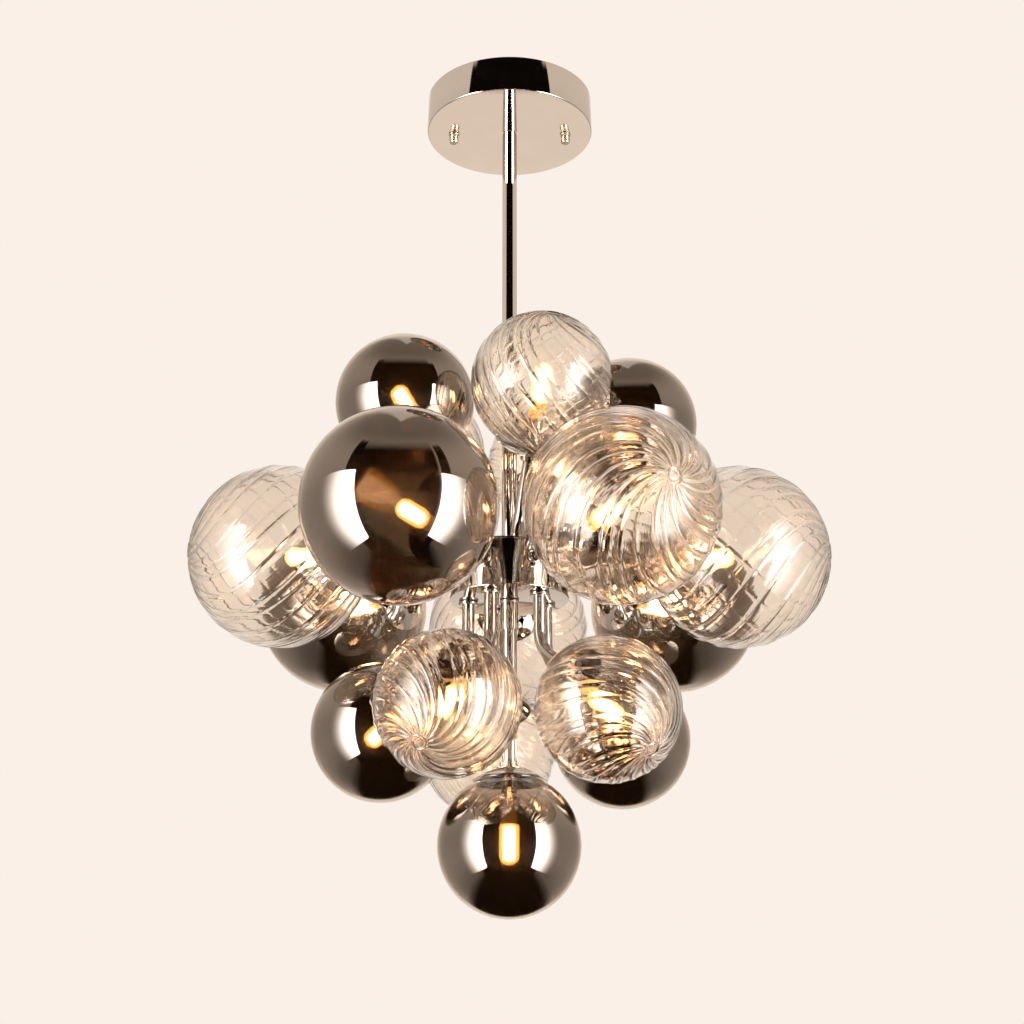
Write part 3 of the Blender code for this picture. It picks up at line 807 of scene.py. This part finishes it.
def bend_rows(azimuth, knee, start_tilt, end_tilt, bend_radius):
    """Tube round the corner at a knee (radius, height), from vertical to the end's tilt."""
    rise = math.cos(start_tilt)
    sweep = abs(end_tilt - start_tilt)
    tangent = bend_radius * math.tan(sweep / 2)
    rows = []
    for index in range(BEND_STEPS + 1):
        turned_by = sweep * index / BEND_STEPS
        radius = knee[0] + bend_radius * (1 - math.cos(turned_by))
        height = knee[1] + rise * (bend_radius * math.sin(turned_by) - tangent)
        tilt = start_tilt + math.copysign(turned_by, end_tilt - start_tilt)
        rows.append(circle(place(azimuth, radius, height, tilt), 0.0, ARM_DIAMETER / 2, TUBE_SIDES))
    return rows


def upper_tube(azimuth, apex_point):
    """Start frame and bend of an arm out of the hub's top."""
    tangent = UPPER_BEND_RADIUS * math.tan(UPPER_TILT / 2)
    knee_height = HUB_TOP + SEAT_GAP + WASHER_THICKNESS + tangent
    knee = (apex_point[0] - (apex_point[1] - knee_height) * math.tan(UPPER_TILT), knee_height)
    start = place(azimuth, knee[0], HUB_TOP, 0.0)
    return start, bend_rows(azimuth, knee, 0.0, UPPER_TILT, UPPER_BEND_RADIUS)


def middle_tube(azimuth, apex_point):
    """Start frame of a level arm out of the hub's wall."""
    return place(azimuth, HUB_DIAMETER / 2 - HUB_LIP_OVERHANG, apex_point[1], MIDDLE_TILT), []


def lower_tube(azimuth, apex_point):
    """Start frame and bend of an arm out of the hub's underside."""
    start = place(azimuth, LOWER_EXIT_RADIUS, HUB_BOTTOM, math.pi)
    rise = (apex_point[0] - LOWER_EXIT_RADIUS) / math.tan(math.pi - LOWER_TILT)
    knee = (LOWER_EXIT_RADIUS, apex_point[1] + rise)
    return start, bend_rows(azimuth, knee, math.pi, LOWER_TILT, LOWER_BEND_RADIUS)


def make_arm(label, start, bend, apex, nickel):
    """Washer, swept tube and lamp end of one arm."""
    bm = bmesh.new()
    hub_washer(bm, start)
    rows = [circle(start, SEAT_GAP, ARM_DIAMETER / 2, TUBE_SIDES)] + bend
    rows.append(circle(apex, 0.0, ARM_DIAMETER / 2, TUBE_SIDES))
    skin(bm, rows)
    lamp_end(bm, apex)
    finish_piece("arm_" + label + "_metal", bm, [nickel], "root", ["arm_" + label])


def make_stem(apex, nickel):
    """Sleeve and tube down to the bottom cup."""
    start = place(0.0, 0.0, HUB_BOTTOM, math.pi)
    sleeve = STEM_SLEEVE_DIAMETER / 2
    stem = STEM_DIAMETER / 2
    bm = bmesh.new()
    hub_washer(bm, start)
    turned(bm, start, (
        (SEAT_GAP, 0.0, 0.0),
        (SEAT_GAP, sleeve, 0.0),
        (STEM_SLEEVE_LENGTH, sleeve, EDGE_ROUND * 2),
        (STEM_SLEEVE_LENGTH, stem, 0.0),
        (STEM_LENGTH - COLLAR_LENGTH, stem, 0.0),
        (STEM_LENGTH - COLLAR_LENGTH, 0.0, 0.0),
    ), TUBE_SIDES)
    lamp_end(bm, apex)
    finish_piece("bottom_stem_metal", bm, [nickel], "root", ["bottom_stem"])


# Bulbs

def make_bulb(label, apex, tint, looks):
    """Capsule bulb: amber foot, frosted capsule and lit core."""
    base = CUP_SEAT_DEPTH + HOLDER_LENGTH + SEAT_GAP
    glass = base + BULB_CAP_LENGTH
    tip = glass + BULB_GLASS_LENGTH
    cap = BULB_CAP_DIAMETER / 2
    capsule = BULB_DIAMETER / 2
    core = CORE_DIAMETER / 2
    bm = bmesh.new()
    turned(bm, apex, (
        (base, 0.0, 0.0),
        (base, cap, EDGE_ROUND),
        (glass - EDGE_ROUND, cap, EDGE_ROUND),
        (glass - EDGE_ROUND, 0.0, 0.0),
    ), TUBE_SIDES, material_index=0)
    turned(bm, apex, (
        (glass, 0.0, 0.0),
        (glass, capsule, EDGE_ROUND * 4),
        (tip - capsule * BULB_SHOULDER_SHARE, capsule, capsule * BULB_SHOULDER_ROUND_SHARE),
        (tip - capsule * BULB_NOSE_SHARE, capsule * BULB_NOSE_WIDTH_SHARE, capsule * BULB_NOSE_ROUND_SHARE),
        (tip, 0.0, 0.0),
    ), TUBE_SIDES, material_index=1)
    turned(bm, apex, (
        (glass + CORE_MARGIN, 0.0, 0.0),
        (glass + CORE_MARGIN, core, EDGE_ROUND * 2),
        (tip - CORE_MARGIN * 2, core, core),
        (tip - CORE_MARGIN * 2, 0.0, 0.0),
    ), TUBE_SIDES, material_index=2)
    materials = [looks["cap"], *looks["bulbs"][tint]]
    piece = finish_piece("bulb_" + label + "_lit", bm, materials, "root", ["bulb_" + label])
    piece.visible_diffuse = False


# Globes

def neck_rows(radius, wall, columns, turn, outside):
    """Rows from the ball down a short neck, from outside or from inside."""
    reach = NECK_DIAMETER / 2 if outside else NECK_DIAMETER / 2 - wall
    lip = -(cup_apex_height(radius) - CUP_SEAT_DEPTH - SEAT_GAP)
    ball = radius if outside else radius - wall
    top = -math.sqrt(ball**2 - reach**2)
    rows = []
    for share in NECK_ROW_SHARES:
        rows.append(circle(Matrix(), top + (lip - top) * share, reach, columns, turn))
    return rows


def rib_angle(rib, polar):
    """Angle of a rib's crest: one even twist, with the small wander of blown glass."""
    place_in_turn = rib % RIB_COUNT
    jitter = RIB_JITTER_SHARE * math.sin(RIB_JITTER_STEP * place_in_turn**2 + RIB_JITTER_START)
    wander = RIB_WANDER_SHARE * math.sin(RIB_WANDER_RATE * polar + RIB_WANDER_STEP * place_in_turn)
    return math.tau / RIB_COUNT * (rib + jitter + wander) + RIB_TWIST_RATE * polar


def rib_height(rib):
    """How far a rib stands out of the ball. No two are quite alike."""
    wave = math.sin(RIB_HEIGHT_STEP * (rib % RIB_COUNT))
    return RIB_HEIGHT * (1 - RIB_HEIGHT_SPREAD_SHARE * (0.5 + 0.5 * wave))


def ribbed_row(radius, polar, outer_end):
    """Points round a clear ball at one polar angle, crowded at the crests, and their shares of a rib."""
    flat_radius = radius * math.sin(polar)
    lean = math.cos(math.atan(RIB_TWIST_RATE * math.sin(polar)))
    width = min(RIB_WIDTH, RIB_WIDTH_SHARE * math.tau / RIB_COUNT * flat_radius)
    arc = polar * radius
    fade = ease(arc, RIB_START, RIB_START + RIB_RISE) * ease(outer_end - polar, 0.0, NECK_FADE)
    ring = BUTTON_RING_HEIGHT * math.exp(-((arc - BUTTON_RADIUS) / BUTTON_RING_WIDTH) ** 2)
    half = COLUMNS_PER_RIB // 2
    row = []
    shares = []
    for rib in range(RIB_COUNT):
        crest = rib_angle(rib, polar)
        gaps = ((crest - rib_angle(rib - 1, polar)) / 2, (rib_angle(rib + 1, polar) - crest) / 2)
        for column in range(-half, half):
            share = (abs(column) / half) ** COLUMN_CROWDING
            offset = -share * gaps[0] if column < 0 else share * gaps[1]
            from_crest = offset * flat_radius * lean / width
            ridge = rib_height(rib) * fade * math.exp(-0.5 * from_crest**2)
            reach = radius - RIB_HEIGHT + max(ridge, ring)
            angle = crest + offset
            flat = reach * math.sin(polar)
            row.append(Vector((flat * math.cos(angle), flat * math.sin(angle), reach * math.cos(polar))))
            shares.append(max(ridge, ring) / RIB_HEIGHT)
    return row, shares


def clear_rows(radius):
    """Rows down the outside of a clear ball: closer over the button at its pole."""
    outer_end = math.pi - math.asin((NECK_DIAMETER / 2 + NECK_ROUND / 2) / radius)
    button_end = BUTTON_REACH / radius
    polars = [button_end * (index + 1) / BUTTON_ROWS for index in range(BUTTON_ROWS)]
    for index in range(CLEAR_ROWS):
        polars.append(button_end + (outer_end - button_end) * (index + 1) / CLEAR_ROWS)
    return [ribbed_row(radius, polar, outer_end) for polar in polars]


def smoke_rows(radius):
    """Rows down the outside of a smooth ball."""
    outer_end = math.pi - math.asin((NECK_DIAMETER / 2 + NECK_ROUND / 2) / radius)
    rows = []
    for index in range(SMOKE_ROWS):
        polar = outer_end * (index + 1) / SMOKE_ROWS
        rows.append(circle(Matrix(), radius * math.cos(polar), radius * math.sin(polar), SMOKE_COLUMNS))
    return rows


def globe_mesh(name, radius, tint, materials):
    """Blown ball with a short neck, walled inside and out. Clear ones carry spiral ribs."""
    clear = tint == "clear"
    wall = CLEAR_WALL if clear else SMOKE_WALL
    columns = RIB_COUNT * COLUMNS_PER_RIB if clear else SMOKE_COLUMNS
    shares = []
    if clear:
        ball, shares = zip(*clear_rows(radius))
        ball = list(ball)
    else:
        ball = smoke_rows(radius)
    turn = math.atan2(ball[-1][0].y, ball[-1][0].x)
    rows = [[Vector((0.0, 0.0, radius - RIB_HEIGHT if clear else radius))]] + ball
    rows += neck_rows(radius, wall, columns, turn, True)
    outer_rows = len(rows)
    rows += neck_rows(radius, wall, columns, turn, False)[::-1]
    inner_radius = radius - wall
    inner_end = math.pi - math.asin((NECK_DIAMETER / 2 - wall + NECK_ROUND / 2) / inner_radius)
    for index in range(INNER_ROWS, 0, -1):
        polar = inner_end * index / INNER_ROWS
        height = inner_radius * math.cos(polar)
        rows.append(circle(Matrix(), height, inner_radius * math.sin(polar), columns, turn))
    rows.append([Vector((0.0, 0.0, inner_radius))])
    bm = bmesh.new()
    rib = bm.verts.layers.float.new("rib")
    verts = skin(bm, rows)
    for row, row_shares in zip(verts[1:], shares):
        for vert, share in zip(row, row_shares):
            vert[rib] = share
    inside = {vert for row in verts[outer_rows:] for vert in row}
    for face in bm.faces:
        if all(vert in inside for vert in face.verts):
            face.material_index = 1
    return smooth_mesh(name, bm, materials)


def make_globe(label, centre, mesh):
    """One globe on its own body."""
    node = "globe_" + label
    hang(node + "_glass", mesh, centre, node, [node])


# The whole lamp

def make_lamp(label, azimuth, ring_radius, ring_height, tilt, globe_radius, tint, make_tube, looks):
    """One arm with its cup, bulb and globe."""
    centre = place(azimuth, ring_radius, ring_height, tilt)
    apex_height = cup_apex_height(globe_radius)
    apex = centre @ Matrix.Translation((0.0, 0.0, -apex_height))
    apex_point = (ring_radius - apex_height * math.sin(tilt), ring_height - apex_height * math.cos(tilt))
    start, bend = make_tube(azimuth, apex_point)
    make_arm(label, start, bend, apex, looks["dark_nickel"])
    make_bulb(label, apex, tint, looks)
    make_globe(label, centre, looks["globes"][(tint, globe_radius)])


def make_ring(label, tints, first_azimuth, ring_radius, ring_height, tilt, globe_diameter, make_tube, looks):
    """A ring of evenly spaced lamps, numbered from the first azimuth round towards +X."""
    for index, tint in enumerate(tints):
        azimuth = first_azimuth + math.tau * index / len(tints)
        make_lamp(label + "_" + str(index + 1), azimuth, ring_radius, ring_height, tilt,
                  globe_diameter / 2, tint, make_tube, looks)


def make_bottom_lamp(looks):
    """The globe straight below the hub."""
    globe_radius = SMALL_GLOBE_DIAMETER / 2
    apex = place(0.0, 0.0, HUB_BOTTOM - STEM_LENGTH, math.pi)
    centre = apex @ Matrix.Translation((0.0, 0.0, cup_apex_height(globe_radius)))
    make_stem(apex, looks["dark_nickel"])
    make_bulb("bottom", apex, "smoke", looks)
    make_globe("bottom", centre, looks["globes"][("smoke", globe_radius)])


def make_globe_meshes():
    """The four kinds of globe."""
    meshes = {}
    clear = [make_clear_glass(), make_clear_inside()]
    for size, diameter in (("small", SMALL_GLOBE_DIAMETER), ("large", LARGE_GLOBE_DIAMETER)):
        radius = diameter / 2
        smoke = [make_smoke_coat(radius), make_smoke_body(radius)]
        for material in smoke:
            material.name += "_" + size
        meshes[("clear", radius)] = globe_mesh("clear_" + size, radius, "clear", clear)
        meshes[("smoke", radius)] = globe_mesh("smoke_" + size, radius, "smoke", smoke)
    return meshes


def dress_crossbar(steel):
    """The solid's shape is right, so it only gets its finish."""
    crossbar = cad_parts["ceiling_crossbar"]
    for slot in crossbar.material_slots:
        slot.material = steel


# Stage, light and camera

def make_world():
    """Pale backdrop for the eye, and a grey studio with a dark front and floor for what mirrors."""
    world = bpy.data.worlds.new("studio")
    bpy.context.scene.world = world
    world.use_nodes = True
    world.node_tree.nodes.clear()
    nodes = Nodes(world.node_tree)
    split = nodes.add("ShaderNodeSeparateXYZ")
    nodes.set(split, 0, nodes.add("ShaderNodeTexCoord").outputs["Generated"])
    across = nodes.math("ABSOLUTE", split.outputs["X"])
    forward = nodes.math("MULTIPLY", split.outputs["Y"], -1.0)
    azimuth = nodes.math("ARCTAN2", across, forward)
    elevation = nodes.math("ARCSINE", split.outputs["Z"])

    def fade(value, limits, to_low=0.0, to_high=1.0):
        low, high = limits
        return nodes.smooth(value, math.radians(low), math.radians(high), to_low, to_high)

    around = nodes.mix(fade(azimuth, SIDE_FADE), STUDIO_NEAR, STUDIO_SIDE)
    around = nodes.mix(fade(azimuth, FAR_FADE), around, STUDIO_FAR)
    around = nodes.mix(fade(elevation, RISE_FADE), around, STUDIO_RISE)
    around = nodes.mix(fade(elevation, ABOVE_FADE), around, STUDIO_ABOVE)
    sweep = nodes.mix(fade(elevation, SWEEP_RISE), STUDIO_SWEEP, BACKDROP)
    around = nodes.mix(fade(azimuth, SWEEP_FADE), around, sweep)

    ahead = fade(azimuth, FRONT_FADE, 1.0, 0.0)
    front = nodes.math("MULTIPLY", ahead, fade(elevation, FRONT_TOP, 1.0, 0.0))
    below = fade(elevation, LOW_TOP, LOW_SHARE, 0.0)
    low = nodes.math("MULTIPLY", below, fade(azimuth, LOW_FADE, 1.0, 0.0))
    mirrored = nodes.mix(nodes.math("MAXIMUM", front, low), around, STUDIO_DARK)

    path = nodes.add("ShaderNodeLightPath")
    shine = mirror_path(nodes, path)
    through = nodes.math("MULTIPLY", path.outputs["Is Transmission Ray"], nodes.math("SUBTRACT", 1.0, shine))
    seen = nodes.math("MAXIMUM", path.outputs["Is Camera Ray"], through)
    colour = nodes.mix(nodes.math("MAXIMUM", shine, path.outputs["Is Glossy Ray"]), LIGHT_LEVEL, mirrored)
    colour = nodes.mix(seen, colour, BACKDROP)
    background = nodes.add("ShaderNodeBackground")
    nodes.set(background, "Color", colour)
    nodes.set(nodes.add("ShaderNodeOutputWorld"), "Surface", background.outputs[0])


def mirror_path(nodes, path):
    """1 for light that has met a mirror on its way, also where glass comes after it."""
    met = nodes.math("GREATER_THAN", path.outputs["Glossy Depth"], 0.5)
    return nodes.math("MULTIPLY", met, nodes.math("SUBTRACT", 1.0, path.outputs["Is Diffuse Ray"]))


def stage_look(name):
    """An empty material for a sheet of the stage, and its nodes."""
    material = bpy.data.materials.new(name)
    material.use_nodes = True
    material.node_tree.nodes.clear()
    return material, Nodes(material.node_tree)


def glow_where(nodes, share, colour, strength):
    """Glow over a share of a sheet for light that has met a mirror. The rest of it is clear."""
    shine = mirror_path(nodes, nodes.add("ShaderNodeLightPath"))
    emission = nodes.add("ShaderNodeEmission")
    nodes.set(emission, "Color", colour)
    nodes.set(emission, "Strength", strength)
    mixed = nodes.add("ShaderNodeMixShader")
    nodes.set(mixed, 0, nodes.math("MULTIPLY", share, shine))
    nodes.set(mixed, 1, nodes.add("ShaderNodeBsdfTransparent").outputs[0])
    nodes.set(mixed, 2, emission.outputs[0])
    nodes.set(nodes.add("ShaderNodeOutputMaterial"), "Surface", mixed.outputs[0])


def stage_sheet(name, low, high, look, hidden_from):
    """Flat sheet between two corners, hidden from some kinds of ray."""
    corners = ((low[0], low[1], 0.0), (high[0], low[1], 0.0), (high[0], high[1], 0.0), (low[0], high[1], 0.0))
    mesh = bpy.data.meshes.new(name)
    mesh.from_pydata(corners, [], [(0, 1, 2, 3)])
    mesh.materials.append(look)
    sheet = bpy.data.objects.new(name, mesh)
    bpy.context.scene.collection.objects.link(sheet)
    for kind in hidden_from:
        setattr(sheet, "visible_" + kind, False)
    return sheet


def make_softbox_look():
    """A glow that is brightest at the panel's inner edge, between two black flags."""
    material, nodes = stage_look("softbox_glow")
    split = nodes.add("ShaderNodeSeparateXYZ")
    nodes.set(split, 0, nodes.object_place())
    outward = split.outputs["X"]
    height = nodes.math("ABSOLUTE", split.outputs["Y"])
    rise = nodes.math("MULTIPLY", height, PANEL_FADE_RISE_SHARE)
    square = nodes.math("ADD", nodes.math("POWER", outward, 2.0), nodes.math("POWER", rise, 2.0))
    fall = nodes.smooth(nodes.math("SQRT", square), 0.0, PANEL_FADE_REACH, 1.0, 0.0)
    glow = nodes.math("POWER", fall, PANEL_FADE_POWER)
    near = nodes.math("LESS_THAN", outward, PANEL_FLAG)
    flag = nodes.math("MULTIPLY", near, nodes.math("GREATER_THAN", height, PANEL_HALF_HEIGHT))
    flag_share = nodes.math("MULTIPLY", flag, nodes.smooth(height, *FLAG_FADE, 1.0, 0.0))
    inside = nodes.math("LESS_THAN", height, PANEL_HALF_HEIGHT)
    lit_share = nodes.math("MULTIPLY", glow, inside)
    share = nodes.math("MAXIMUM", lit_share, flag_share)
    strength = nodes.smooth(flag, 0.0, 1.0, PANEL_STRENGTH, 1.0)
    glow_where(nodes, share, nodes.mix(flag, PANEL_COLOUR, STUDIO_DARK), strength)
    return material


def make_dark_floor():
    """Dark floor between the softboxes, with soft edges, that only mirrors show."""
    half = DARK_FLOOR_HALF_WIDTH + DARK_FLOOR_FADE
    far = DARK_FLOOR_BACK + DARK_FLOOR_FADE
    material, nodes = stage_look("dark_floor")
    split = nodes.add("ShaderNodeSeparateXYZ")
    nodes.set(split, 0, nodes.object_place())
    across = nodes.math("ABSOLUTE", split.outputs["X"])
    sides = nodes.smooth(across, half - 2 * DARK_FLOOR_FADE, half, 1.0, 0.0)
    back = nodes.smooth(split.outputs["Y"], far - 2 * DARK_FLOOR_FADE, far, 1.0, 0.0)
    glow_where(nodes, nodes.math("MULTIPLY", sides, back), (*STUDIO_DARK, 1.0), 1.0)
    floor = stage_sheet("dark_floor", (-half, DARK_FLOOR_FRONT), (half, far), material, ONLY_IN_MIRRORS)
    floor.location = (0.0, 0.0, DARK_FLOOR_HEIGHT)


def make_softboxes():
    """Two tall softboxes that only mirrors show."""
    look = make_softbox_look()
    x, y, z = PANEL_INNER_PLACE
    low = (0.0, -PANEL_REACH)
    high = (PANEL_LENGTH, PANEL_REACH)
    for name, side, turn in (("softbox_left", -1, math.pi - PANEL_TURN), ("softbox_right", 1, PANEL_TURN)):
        panel = stage_sheet(name, low, high, look, ONLY_IN_MIRRORS)
        panel.location = (side * x, y, z)
        panel.rotation_euler = (math.pi / 2, 0.0, turn)


def make_floor():
    """Plain pale floor, below the picture."""
    half = FLOOR_SIZE / 2
    material, nodes, shader = new_material("pale_floor")
    nodes.set(shader, "Base Color", nodes.mix(nodes.noise(nodes.object_place(), FLOOR_SCALE), *FLOOR_TONES))
    shader.inputs["Roughness"].default_value = FLOOR_ROUGHNESS
    floor = stage_sheet("floor", (-half, -half), (half, half), material, ("glossy",))
    floor.location = (0.0, 0.0, FLOOR_HEIGHT)


def make_lights():
    """Two soft lamps, for shade on the floor and the plain parts."""
    x, y, z = LAMP_PLACE
    for name, side in (("soft_left", -1), ("soft_right", 1)):
        data = bpy.data.lights.new(name, "AREA")
        data.shape = "RECTANGLE"
        data.size = LAMP_WIDTH
        data.size_y = LAMP_HEIGHT
        data.energy = LAMP_POWER
        data.color = LAMP_COLOUR
        lamp = bpy.data.objects.new(name, data)
        lamp.location = (side * x, y, z)
        aim = Vector(LAMP_AIM) - lamp.location
        lamp.rotation_euler = aim.to_track_quat("-Z", "Y").to_euler()
        for kind in ("camera", "glossy", "transmission"):
            setattr(lamp, "visible_" + kind, False)
        bpy.context.scene.collection.objects.link(lamp)


def make_camera():
    """The photograph's view."""
    data = bpy.data.cameras.new("camera")
    data.sensor_fit = "HORIZONTAL"
    data.sensor_width = SENSOR_WIDTH
    data.lens = SENSOR_WIDTH * FOCAL_PIXELS / PICTURE_WIDTH
    camera = bpy.data.objects.new("camera", data)
    camera.matrix_world = (
        Matrix.Translation(CAMERA_PLACE)
        @ Matrix.Rotation(math.pi / 2 + CAMERA_PITCH, 4, "X")
    )
    bpy.context.scene.collection.objects.link(camera)
    bpy.context.scene.camera = camera


def set_render_paths():
    """Plain view, and enough bounces for light through several glass walls."""
    scene = bpy.context.scene
    scene.view_settings.view_transform = "Standard"
    scene.cycles.max_bounces = GLASS_BOUNCES
    scene.cycles.glossy_bounces = GLOSSY_BOUNCES
    scene.cycles.transmission_bounces = GLASS_BOUNCES
    scene.cycles.transparent_max_bounces = GLASS_BOUNCES
    scene.cycles.sample_clamp_indirect = BRIGHTEST_BOUNCE


def main():
    make_camera()
    make_world()
    make_softboxes()
    make_dark_floor()
    make_floor()
    make_lights()
    set_render_paths()
    looks = {
        "nickel": make_nickel("nickel_polish", CANOPY_NICKEL),
        # Arms and hub: the same nickel made darker, as painted shade
        "dark_nickel": make_nickel("nickel_polish_painted_shade", ARM_NICKEL_PAINTED_SHADE),
        "bulbs": {tint: (make_bulb_glass(tint, level), make_bulb_core(tint, level))
                  for tint, level in BULB_LEVELS.items()},
        "cap": make_bulb_cap(),
        "globes": make_globe_meshes(),
    }
    dress_crossbar(make_steel())
    make_canopy(looks["nickel"])
    make_nuts(make_satin())
    make_rod(looks["nickel"])
    make_hub(looks["dark_nickel"])
    make_ring("upper", UPPER_TINTS, UPPER_FIRST_AZIMUTH, UPPER_RING_RADIUS, HUB_MIDDLE + UPPER_RING_RISE,
              UPPER_TILT, SMALL_GLOBE_DIAMETER, upper_tube, looks)
    make_ring("middle", MIDDLE_TINTS, MIDDLE_FIRST_AZIMUTH, MIDDLE_RING_RADIUS, HUB_MIDDLE + MIDDLE_RING_RISE,
              MIDDLE_TILT, LARGE_GLOBE_DIAMETER, middle_tube, looks)
    make_ring("lower", LOWER_TINTS, LOWER_FIRST_AZIMUTH, LOWER_RING_RADIUS, HUB_MIDDLE - LOWER_RING_DROP,
              LOWER_TILT, SMALL_GLOBE_DIAMETER, lower_tube, looks)
    make_bottom_lamp(looks)


main()
